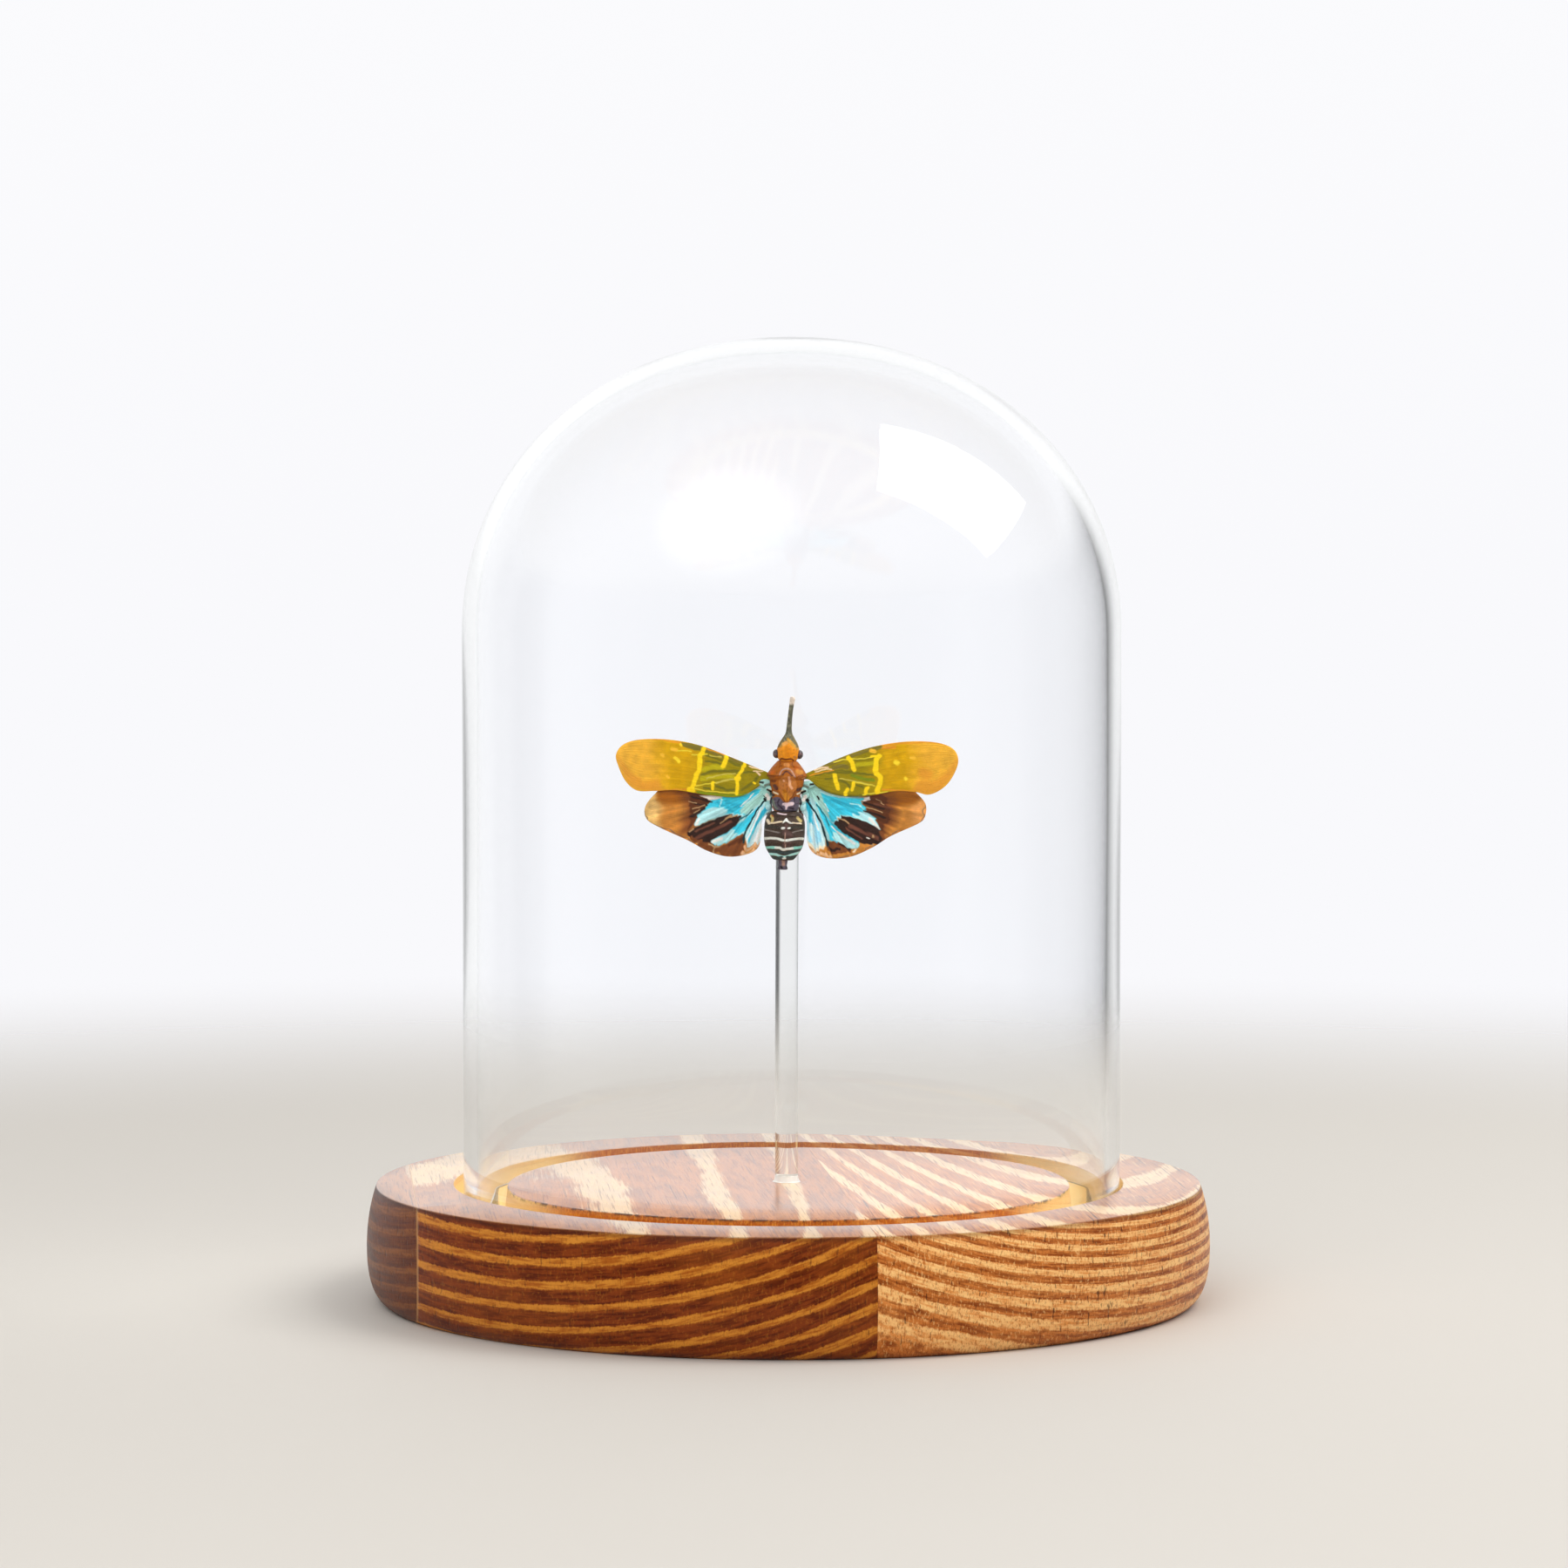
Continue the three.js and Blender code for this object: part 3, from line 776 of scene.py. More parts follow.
@dataclass(frozen=True)
class Mark:
    """A painted stroke along points, or a filled patch inside them where the width is None."""

    tint: Tint
    points: tuple[Spot, ...]
    width: float | None
    soft: float

    def cover(self, spots: Array) -> Array:
        """How much of each spot the mark hides, by its distance to the smoothed line or outline."""
        closed = self.width is None
        points = (*self.points, self.points[0]) if closed else self.points
        path = smooth_path(points, 5)
        away = distance_to(path, spots)
        if closed:
            away = np.where(inside(path, spots), -away, away)
        edge = -self.soft / 2 if closed else self.width / 2 - self.soft / 3
        return 1 - ease(edge, edge + self.soft, away)


Marks = tuple[Mark, ...]
Row = tuple[Tint | tuple[int, ...], ...]


def strokes(per: int, *rows: Row) -> Marks:
    """Marks from rows of whole numbers.

    Args:
        per: how many steps of a place make a millimetre.
        rows: each a tint and its strokes. A stroke is a width (0 for a filled patch) and a softness in
            hundredths of a millimetre, and then the steps of each point's x and height in turn.

    Returns:
        The marks in the same order.
    """
    made = []
    for tint, *lines in rows:
        for width, soft, *steps in lines:
            spots = [step / per for step in steps]
            points = tuple(zip(spots[::2], spots[1::2], strict=True))
            made.append(Mark(tint, points, width / 100 or None, soft / 100))
    return tuple(made)


def painted(spots: Array, ground: Array, marks: Marks, seed: int, wobble: float = 0.05) -> Array:
    """Lays marks over ground colours, each over those before it, with slightly unsteady edges.

    Args:
        spots: places in the plane the marks are drawn in, as x and height, one a row.
        ground: the colour of each spot before any mark.
        marks: the marks, lowest first.
        seed: the random seed of the unsteadiness.
        wobble: how far an edge may wander.

    Returns:
        The colour of each spot.
    """
    shift = np.stack([ripple(spots, 0.55, seed), ripple(spots, 0.55, seed + 1)], 1)
    moved, tones = spots + wobble * shift, ground.astype(float).copy()
    for mark in marks:
        margin = (mark.width or 0) / 2 + mark.soft + 0.3
        low, high = np.min(mark.points, 0) - margin, np.max(mark.points, 0) + margin
        near = ((moved > low) & (moved < high)).all(1)
        if near.any():
            cover = mark.cover(moved[near])[:, None]
            tones[near] += cover * (np.asarray(mark.tint.value) - tones[near])
    return tones


FOREWING_LEFT_MARKS = strokes(
    10,
    (Tint.AMBER_DEEP, (0, 102, -263, 845, -254, 828, -243, 799, -217, 786, -193, 787, -200, 804, -222, 802,
    -239, 816), (68, 68, -237, 806, -229, 804)),
    (Tint.ORANGE_EDGE, (24, 20, -253, 858, -239, 864, -217, 867, -197, 866, -154, 859)),
    (Tint.OLIVE_GREY, (0, 24, -163, 862, -132, 856, -78, 837, -52, 827, -38, 819, -57, 825, -83, 831, -127,
    847, -144, 850, -161, 856)),
    (Tint.OLIVE_DARK, (27, 14, -127, 842, -102, 834), (31, 17, -92, 833, -81, 828, -71, 825), (24, 14, -127,
    833, -113, 831, -102, 828), (31, 20, -132, 811, -115, 817, -73, 818)),
    (Tint.OLIVE_BRIGHT, (68, 34, -129, 819, -115, 824, -103, 823), (61, 34, -132, 806, -110, 809, -86, 809)),
    (Tint.OLIVE_DARK, (24, 14, -86, 814, -47, 817), (34, 20, -71, 789, -56, 799, -47, 809), (27, 17, -110,
    795, -93, 789, -83, 789)),
    (Tint.OLIVE_GREEN, (31, 17, -139, 786, -120, 783, -78, 780, -64, 782)),
    (Tint.OLIVE_DARK, (24, 14, -129, 792, -118, 790)),
    (Tint.YELLOW_PALE, (15, 10, -141, 795, -83, 805), (14, 10, -142, 791, -124, 787, -81, 784)),
    (Tint.OLIVE_PALE, (24, 14, -110, 800, -93, 804, -82, 805), (15, 10, -125, 806, -103, 812, -81, 814), (14,
    10, -120, 841, -102, 839)),
    (Tint.YELLOW_PALE, (15, 10, -169, 848, -159, 849, -149, 848), (17, 14, -147, 843, -137, 842, -124, 843)),
    (Tint.ORANGE_EDGE, (17, 14, -200, 788, -154, 790), (15, 10, -127, 852, -78, 836)),
    (Tint.BAND, (65, 17, -129, 851, -131, 845, -135, 841, -136, 820, -141, 809, -148, 787), (88, 17, -150,
    789, -147, 789), (65, 17, -95, 840, -96, 834, -100, 825), (51, 17, -67, 829, -68, 825, -73, 816, -78,
    809, -78, 795, -79, 783), (68, 14, -80, 806, -76, 807), (44, 14, -116, 800, -115, 790), (27, 14, -54,
    800, -52, 799)),
    (Tint.SPOT, (34, 17, -165, 858, -164, 857)),
    (Tint.SPOT_ORANGE, (44, 24, -192, 842, -190, 841)),
    (Tint.SPOT, (44, 20, -172, 837, -168, 834, -167, 832)),
    (Tint.SPOT_ORANGE, (34, 20, -185, 810, -183, 808), (51, 31, -176, 851, -171, 850)),
    (Tint.ROOT_PALE, (20, 10, -60, 825, -41, 820), (14, 10, -54, 818, -39, 817), (24, 14, -49, 816, -44,
    812)),
)
FOREWING_RIGHT_MARKS = strokes(
    10,
    (Tint.AMBER_DEEP, (0, 110, 259, 836, 250, 807, 230, 785, 206, 780, 191, 787, 202, 803, 228, 805), (110,
    91, 204, 814, 213, 811)),
    (Tint.ORANGE_EDGE, (26, 22, 138, 855, 162, 859, 211, 861, 237, 858, 250, 854), (44, 26, 142, 853, 162,
    854)),
    (Tint.OLIVE_GREY, (0, 26, 33, 817, 60, 830, 114, 850, 140, 856, 138, 850, 114, 844, 47, 820), (62, 29, 69,
    823, 82, 825, 89, 823)),
    (Tint.OLIVE_DARK, (22, 15, 103, 834, 129, 838)),
    (Tint.OLIVE_BRIGHT, (55, 29, 105, 827, 130, 829)),
    (Tint.OLIVE_DARK, (26, 15, 41, 811, 63, 815, 111, 813, 129, 811), (18, 15, 47, 813, 74, 818, 96, 816)),
    (Tint.OLIVE_GREEN, (40, 26, 96, 811, 114, 805, 129, 803)),
    (Tint.OLIVE_DARK, (33, 22, 47, 792, 60, 785, 78, 780, 103, 779, 122, 780), (22, 15, 56, 805, 67, 807),
    (29, 18, 78, 803, 89, 798, 94, 789), (22, 15, 103, 796, 113, 792, 116, 789)),
    (Tint.OLIVE_PALE, (16, 11, 78, 806, 114, 799, 131, 794)),
    (Tint.YELLOW_PALE, (15, 11, 69, 831, 89, 836, 114, 836, 133, 840), (16, 11, 100, 801, 131, 794)),
    (Tint.ORANGE_EDGE, (15, 11, 32, 811, 69, 819), (18, 15, 144, 789, 193, 786)),
    (Tint.YELLOW_PALE, (18, 15, 114, 781, 151, 785)),
    (Tint.BAND, (73, 18, 138, 840, 134, 834, 133, 816, 137, 811, 140, 805, 139, 797, 136, 789, 136, 784), (26,
    15, 125, 839, 142, 840), (62, 18, 91, 838, 96, 832, 100, 819), (62, 18, 70, 811, 71, 803, 75, 791), (51,
    18, 99, 799, 97, 789), (51, 18, 90, 789, 87, 784, 87, 781), (47, 18, 121, 792, 118, 788, 118, 783)),
    (Tint.SPOT_ORANGE, (62, 22, 126, 848, 130, 847)),
    (Tint.SPOT, (66, 26, 164, 830, 166, 829)),
    (Tint.SPOT_ORANGE, (47, 26, 187, 837, 191, 837)),
    (Tint.SPOT, (44, 22, 178, 806, 180, 804)),
    (Tint.ROOT_PALE, (26, 15, 39, 819, 49, 822, 60, 823), (18, 11, 41, 816, 56, 820, 65, 820)),
)
HINDWING_LEFT_MARKS = strokes(
    10,
    (Tint.BROWN_SPECKLED, (0, 120, -198, 789, -168, 789, -139, 785, -141, 775, -164, 768, -188, 768, -200,
    775)),
    (Tint.BROWN_MID, (0, 220, -168, 789, -137, 782, -125, 775, -129, 755, -144, 734, -154, 721, -168, 722,
    -164, 739, -156, 755, -163, 772), (0, 41, -156, 722, -137, 731, -110, 714, -103, 697, -120, 693, -144,
    707)),
    (Tint.BROWN_DARK, (0, 27, -151, 784, -134, 782, -127, 775, -115, 772, -127, 765, -129, 757, -137, 749,
    -151, 731, -156, 726, -154, 739, -149, 753, -154, 765, -151, 775)),
    (Tint.TURQUOISE, (0, 17, -28, 789, -52, 789, -62, 782, -78, 778, -103, 778, -115, 775, -124, 766, -130,
    757, -139, 749, -145, 739, -143, 733, -127, 739, -110, 748, -95, 753, -83, 753, -71, 749, -62, 755, -52,
    765, -39, 775)),
    # Painted highlight on the hindwing just under the forewing's edge.
    (Tint.PINK_PALE_AND_HIGHLIGHT, (0, 14, -136, 780, -120, 780, -102, 777, -117, 773, -127, 774)),
    (Tint.BLACK_BROWN, (27, 10, -147, 777, -118, 770), (24, 10, -149, 770, -137, 766, -125, 765), (34, 14,
    -147, 748, -128, 760)),
    (Tint.STREAK_TAN, (14, 8, -147, 759, -129, 765), (10, 8, -154, 770, -141, 768), (10, 8, -144, 753, -134,
    759)),
    (Tint.CYAN_PALE, (0, 27, -103, 763, -115, 762, -129, 756, -141, 746, -145, 739, -143, 733, -127, 739,
    -110, 748, -95, 753, -90, 758)),
    (Tint.CYAN_DEEP, (44, 27, -95, 772, -81, 766, -73, 765), (31, 20, -110, 770, -96, 765, -83, 758)),
    (Tint.CYAN_PALE, (17, 14, -103, 775, -102, 765)),
    (Tint.WHITE_TIP, (44, 24, -142, 736, -139, 742)),
    (Tint.MINT, (0, 27, -25, 794, -39, 794, -47, 782, -62, 772, -73, 758, -72, 750, -61, 755, -47, 765, -32,
    775)),
    (Tint.CYAN_PALE, (20, 14, -68, 768, -59, 772, -47, 782)),
    (Tint.WHITE_TIP, (14, 10, -54, 783, -71, 765)),
    (Tint.BLACK_BROWN, (0, 15, -87, 752, -75, 746, -74, 742, -85, 728, -102, 719, -125, 706, -151, 712, -156,
    718, -156, 723, -142, 731, -107, 747, -96, 751)),
    (Tint.BROWN_RED, (44, 24, -90, 739, -129, 721, -142, 714), (24, 17, -112, 739, -144, 724)),
    (Tint.STREAK_TAN, (24, 10, -79, 749, -88, 749, -95, 745), (14, 10, -95, 745, -103, 738), (14, 14, -154,
    723, -147, 728)),
    (Tint.BROWN_MID, (37, 24, -151, 714, -124, 705)),
    (Tint.TURQUOISE, (0, 15, -42, 766, -71, 741, -95, 723, -115, 712, -119, 708, -112, 703, -102, 705, -85,
    714, -70, 721, -62, 732, -54, 748, -40, 765)),
    (Tint.CYAN_PALE, (0, 27, -85, 730, -96, 721, -115, 712, -119, 708, -112, 704, -102, 706, -85, 715, -78,
    722)),
    (Tint.WHITE_TIP, (37, 20, -116, 708, -102, 714)),
    (Tint.TEAL_DARK, (15, 8, -54, 760, -61, 753, -76, 742)),
    (Tint.STREAK_TAN, (17, 10, -110, 704, -113, 699, -114, 694), (20, 14, -122, 705, -115, 702, -105, 703)),
    (Tint.BROWN_MID, (0, 17, -69, 718, -81, 714, -96, 706, -107, 699, -102, 688, -83, 686, -70, 692, -68,
    704)),
    (Tint.BROWN_DARK, (44, 27, -71, 712, -79, 707, -90, 704)),
    (Tint.ANAL_PALE, (0, 15, -25, 782, -35, 772, -44, 758, -63, 722, -67, 709, -65, 704, -52, 705, -40, 712,
    -37, 731, -35, 751, -25, 765)),
    (Tint.CYAN_DEEP, (58, 27, -31, 765, -51, 736)),
    (Tint.TURQUOISE, (51, 24, -52, 734, -58, 722, -62, 711)),
    (Tint.WHITE_TIP, (24, 14, -44, 755, -65, 708), (51, 27, -41, 734, -44, 721, -51, 709)),
    (Tint.MARGIN_TAN, (44, 24, -68, 698, -54, 701, -39, 708), (44, 27, -71, 690, -54, 693, -42, 699)),
    (Tint.TEAL_BLACK, (24, 8, -38, 771, -49, 756, -62, 731, -68, 719, -70, 705)),
    (Tint.BLACK, (27, 14, -43, 800, -36, 799), (31, 14, -37, 775, -35, 772), (20, 14, -32, 789, -27, 789)),
)
HINDWING_RIGHT_MARKS = strokes(
    10,
    (Tint.BROWN_SPECKLED, (0, 120, 133, 781, 169, 784, 197, 781, 191, 767, 158, 763, 136, 770)),
    (Tint.BROWN_MID, (0, 220, 125, 778, 151, 781, 162, 767, 162, 745, 151, 723, 144, 714, 136, 727, 125, 749,
    114, 756, 113, 770)),
    (Tint.BROWN_DARK, (0, 33, 124, 778, 142, 780, 151, 767, 152, 745, 147, 728, 142, 721, 138, 738, 129, 748,
    117, 756, 122, 761, 113, 768)),
    (Tint.TURQUOISE, (0, 18, 27, 798, 41, 791, 51, 783, 67, 778, 89, 775, 113, 776, 110, 770, 114, 764, 119,
    760, 116, 756, 129, 748, 137, 737, 139, 726, 122, 734, 113, 741, 96, 746, 82, 748, 65, 743, 58, 752, 47,
    770, 32, 781)),
    # Painted highlight on the hindwing just under the forewing's edge.
    (Tint.PINK_PALE_AND_HIGHLIGHT, (0, 15, 111, 776, 126, 777, 120, 773, 114, 771)),
    (Tint.BLACK_BROWN, (29, 11, 114, 769, 142, 759), (33, 11, 117, 755, 129, 752, 144, 746)),
    (Tint.BROWN_RED, (18, 11, 131, 767, 156, 759)),
    (Tint.STREAK_TAN, (13, 9, 118, 762, 142, 754), (9, 9, 133, 774, 147, 765)),
    (Tint.CYAN_PALE, (0, 26, 100, 752, 114, 755, 129, 747, 137, 736, 139, 727, 123, 734, 113, 741, 102, 746)),
    (Tint.WHITE_TIP, (44, 22, 125, 743, 133, 735, 137, 729)),
    (Tint.CYAN_DEEP, (47, 29, 65, 772, 103, 763), (26, 18, 74, 758, 93, 756, 107, 750)),
    (Tint.WHITE_TIP, (13, 11, 56, 767, 60, 756)),
    (Tint.CYAN_PALE, (16, 13, 94, 767, 107, 765, 113, 759)),
    (Tint.MINT, (0, 29, 21, 801, 34, 803, 45, 792, 58, 759, 57, 750, 47, 761, 38, 774, 26, 781)),
    (Tint.BLACK_BROWN, (0, 16, 82, 747, 103, 743, 122, 737, 139, 727, 147, 716, 144, 708, 129, 704, 114, 704,
    104, 708, 89, 719, 76, 728, 66, 742, 79, 742)),
    (Tint.STREAK_TAN, (18, 11, 76, 743, 84, 742, 94, 735)),
    (Tint.BROWN_RED, (47, 26, 94, 732, 136, 714), (22, 18, 89, 728, 114, 712)),
    (Tint.BROWN_MID, (55, 33, 144, 723, 147, 710, 140, 705)),
    (Tint.WHITE_TIP, (22, 11, 121, 714, 123, 713)),
    (Tint.STREAK_TAN, (15, 11, 125, 718, 131, 717)),
    (Tint.TURQUOISE, (0, 16, 41, 770, 58, 748, 82, 725, 96, 715, 109, 706, 104, 700, 94, 699, 78, 706, 64,
    713, 59, 725, 51, 743)),
    (Tint.CYAN_PALE, (0, 26, 69, 723, 82, 721, 96, 713, 108, 705, 104, 700, 94, 699, 78, 707, 67, 715)),
    (Tint.WHITE_TIP, (26, 15, 67, 732, 100, 706)),
    (Tint.TEAL_DARK, (18, 11, 43, 765, 56, 747, 63, 732)),
    (Tint.BROWN_MID, (0, 18, 59, 713, 74, 708, 89, 701, 97, 696, 89, 690, 71, 690, 60, 695)),
    (Tint.BLACK_BROWN, (37, 22, 61, 701, 67, 697, 78, 697), (26, 15, 78, 704, 94, 697)),
    (Tint.ANAL_PALE, (0, 16, 19, 774, 30, 770, 40, 756, 54, 719, 57, 700, 49, 695, 30, 700, 23, 719, 21, 741,
    18, 759)),
    (Tint.CYAN_DEEP, (62, 29, 30, 767, 35, 738)),
    (Tint.ANAL_BLUE, (80, 33, 40, 745, 47, 708), (44, 26, 28, 738, 30, 719, 34, 705)),
    (Tint.WHITE_TIP, (18, 15, 39, 752, 41, 738, 47, 723)),
    (Tint.CREAM, (40, 22, 28, 703, 40, 696, 54, 696)),
    (Tint.MARGIN_TAN, (44, 26, 30, 693, 47, 687, 65, 685)),
    (Tint.TEAL_BLACK, (26, 9, 27, 773, 46, 745, 58, 712, 60, 699)),
    (Tint.BLACK, (26, 15, 28, 774, 30, 772), (26, 15, 31, 798, 37, 797), (22, 15, 44, 778, 46, 774), (18, 15,
    19, 781, 25, 784)),
    (Tint.CREAM, (26, 18, 103, 697, 100, 692)),
    (Tint.STREAK_TAN, (18, 15, 127, 704, 131, 703)),
)
HEAD_MARKS = strokes(
    100,
    (Tint.SNOUT_GREY, (31, 18, -68, 637, -154, 469), (26, 15, 48, 642, 128, 488)),
    # Painted highlight across the brow.
    (Tint.HEAD_HIGHLIGHT, (46, 31, -74, 503, -33, 527)),
    (Tint.HEAD_DEEP, (69, 46, -10, 448, 12, 365)),
    (Tint.HEAD_OCHRE, (31, 23, -12, 586, 92, 483)),
    (Tint.RUST_DARK, (20, 14, -128, 252, -91, 284, -22, 275, 46, 282, 86, 261)),
    (Tint.RUST_PALE, (23, 15, 110, 323, 107, 292)),
)
PROTHORAX_MARKS = strokes(
    100,
    (Tint.RUST_RED, (46, 28, -235, 64, -205, 80), (46, 28, 121, 155, 160, 130)),
    (Tint.RUST_GOLD, (54, 31, 153, 103, 215, 82)),
    (Tint.RUST_PALE, (46, 23, -34, 194, 12, 189)),
    (Tint.RUST_DARK, (11, 8, -121, 252, -111, 191, -124, 145), (11, 8, 78, 260, 73, 199, 105, 162), (12, 9,
    -302, 23, -210, 17, -111, 27), (15, 9, 172, 19, 217, 44, 248, 30)),
    (Tint.PINK_GREY, (18, 11, -112, 46, -84, 108, -16, 138, 53, 118, 126, 18)),
    (Tint.MAROON, (20, 11, -74, 47, -7, 100, 80, 39)),
    (Tint.RUST_PALE, (15, 9, 227, -5, 265, 0)),
    (Tint.COPPER, (0, 9, -76, 17, -12, 35, 96, 22, 144, -43, 146, -81, -122, -92, -109, -31)),
    # Painted highlight on the shield's front.
    (Tint.COPPER_HIGHLIGHT, (34, 12, 31, 10, 43, -47)),
)
PTEROTHORAX_MARKS = strokes(
    100,
    (Tint.RUST_DARK, (38, 20, -230, -59, -184, -57)),
    (Tint.MAROON, (46, 18, -181, -133, -149, -170), (46, 18, 173, -179, 218, -170)),
    (Tint.STEEL, (0, 8, -218, -349, -173, -316, -97, -306, 5, -385, 109, -305, 185, -294, 217, -361, 208,
    -469, 118, -518, -96, -527, -182, -470)),
    (Tint.STEEL_DARK, (18, 11, -104, -336, -116, -413, -36, -487), (18, 11, 124, -296, 127, -373), (20, 11,
    54, -452, 116, -473)),
    (Tint.STEEL_GREEN, (23, 11, -191, -355, -176, -431, -128, -483)),
    (Tint.PINK_WHITE, (0, 7, -48, -388, 112, -370, 114, -419, 38, -434, 21, -484, 2, -485, -16, -432, -54,
    -426)),
    (Tint.COPPER, (0, 9, -111, 23, 110, 32, 147, -73, 139, -189, 21, -385, -105, -214, -126, -85)),
    (Tint.COPPER_GOLD, (69, 31, -24, -218, 14, -316)),
    (Tint.RUST_OCHRE, (31, 23, -33, -196, -17, -210)),
    # Painted highlight streaks down the shield.
    (Tint.COPPER_HIGHLIGHT, (35, 12, 33, 21, 55, -108, 84, -160), (20, 12, -64, 2, -39, -51)),
    (Tint.RUST_DARK, (6, 5, 0, 12, 20, -370), (9, 6, -101, -222, -11, -363), (9, 6, 135, -196, 100, -274, 50,
    -345)),
    (Tint.CREAM, (26, 9, -192, -233, -126, -255), (26, 9, 172, -245, 243, -219)),
    (Tint.BLACK, (26, 11, -237, -269, -190, -283), (23, 11, 223, -282, 265, -275), (11, 6, -127, -517, 10,
    -504, 179, -512)),
)
ABDOMEN_MARKS = strokes(
    100,
    (Tint.PINK_WHITE, (19, 10, -119, -544, -50, -558, 9, -556)),
    (Tint.OCHRE_CREAM, (39, 17, -206, -599, -190, -632, -198, -675)),
    (Tint.RUST_RED, (15, 8, -198, -586, -180, -598)),
    (Tint.CREAM, (42, 20, -267, -670, -239, -711)),
    (Tint.OCHRE_CREAM, (39, 17, 194, -608, 239, -657)),
    (Tint.CREAM, (24, 10, -214, -706, -46, -669), (20, 10, 116, -679, 245, -695)),
    (Tint.WHITE_TIP, (0, 7, -29, -660, 20, -613, 56, -656, 134, -695, 66, -698, 14, -666, -36, -702)),
    (Tint.MAROON_GREY, (39, 20, 16, -709, 36, -776)),
    (Tint.BLACK, (48, 10, -331, -766, -195, -753, -71, -774), (42, 10, 103, -763, 179, -746, 281, -753)),
    (Tint.WHITE_TIP, (36, 12, -37, -772, -7, -767), (24, 10, 56, -768, 78, -764)),
    (Tint.BAND_GREY, (19, 12, -295, -811, -81, -840), (19, 12, 123, -832, 190, -808, 274, -796)),
    (Tint.MAROON_GREY, (93, 42, 21, -836, 74, -876)),
    (Tint.BAND_PALE, (37, 10, -306, -950, -187, -934, -68, -940, 18, -955, 220, -925, 293, -931)),
    (Tint.MAROON_GREY, (59, 34, 12, -1015, 79, -1012)),
    (Tint.BAND_GREEN, (39, 10, -291, -1091, -114, -1071), (39, 10, 133, -1074, 285, -1059)),
    (Tint.BAND_PALE, (39, 10, -122, -1072, -62, -1076, -10, -1099, 133, -1074)),
    (Tint.TEAL_BLACK, (44, 10, -255, -1144, -120, -1133, 34, -1152, 135, -1129, 262, -1115)),
    (Tint.BAND_CYAN, (36, 10, -228, -1182, -109, -1183, 11, -1211, 154, -1166, 247, -1145)),
    (Tint.TEAL_BLACK, (49, 10, -217, -1239, -98, -1242, -26, -1225), (49, 10, 58, -1221, 123, -1230, 224,
    -1210)),
    (Tint.BAND_PALE, (29, 12, -5, -1237, 29, -1235)),
    (Tint.PINK_GREY, (8, 5, 12, -828, 20, -1066)),
)
ANAL_TUBE_MARKS = strokes(
    100,
    (Tint.STEEL_DARK, (42, 17, -88, -1283, -73, -1427)),
    (Tint.PINK_GREY, (42, 25, 2, -1288, 8, -1338)),
    (Tint.BLACK, (22, 12, -29, -1374, -15, -1390), (22, 12, 57, -1379, 70, -1387)),
)
HINGE_MARKS = strokes(
    100,
    (Tint.CREAM, (45, 15, 250, -210, 210, -240, 200, -290)),
    # The hinge plate's own pale pink.
    (Tint.PINK_PALE_AND_HIGHLIGHT, (55, 20, 290, -290, 270, -340)),
    (Tint.CYAN_PALE, (60, 25, 270, -420, 270, -500)),
    (Tint.BLACK, (28, 12, 410, -95, 360, -100)),
    (Tint.STEEL_GREEN, (25, 20, 330, -140, 260, -120)),
    (Tint.BLACK, (30, 12, 290, -200, 230, -230), (20, 10, 230, -260, 180, -285), (40, 15, 350, -320, 320,
    -350)),
    (Tint.STEEL_DARK, (22, 12, 220, -330, 230, -390, 210, -440)),
)


# ---- pieces ----


class Slot(Enum):
    """The record's material slots."""

    PINE = "pine"
    GLASS = "dome_glass"
    ROD = "clear_rod"
    GLUE = "clear_glue"
    ORANGE = "orange_cuticle"
    BANDED = "banded_cuticle"
    DARK = "dark_cuticle"
    EYE = "eye"
    FOREWING = "forewing"
    HINDWING = "hindwing"


def settle(name: str, mesh: bpy.types.Mesh, finish: bpy.types.Material, node: str) -> Piece:
    """Puts a dressed piece in the scene at the origin, on the body, in place of its node.

    Args:
        name: the piece's name.
        mesh: its mesh, already in place.
        finish: its material.
        node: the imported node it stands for.

    Returns:
        The piece.
    """
    mesh.materials.clear()
    mesh.materials.append(finish)
    piece = bpy.data.objects.new(name, mesh)
    bpy.context.scene.collection.objects.link(piece)
    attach(piece, BODY)
    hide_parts(node)
    return piece


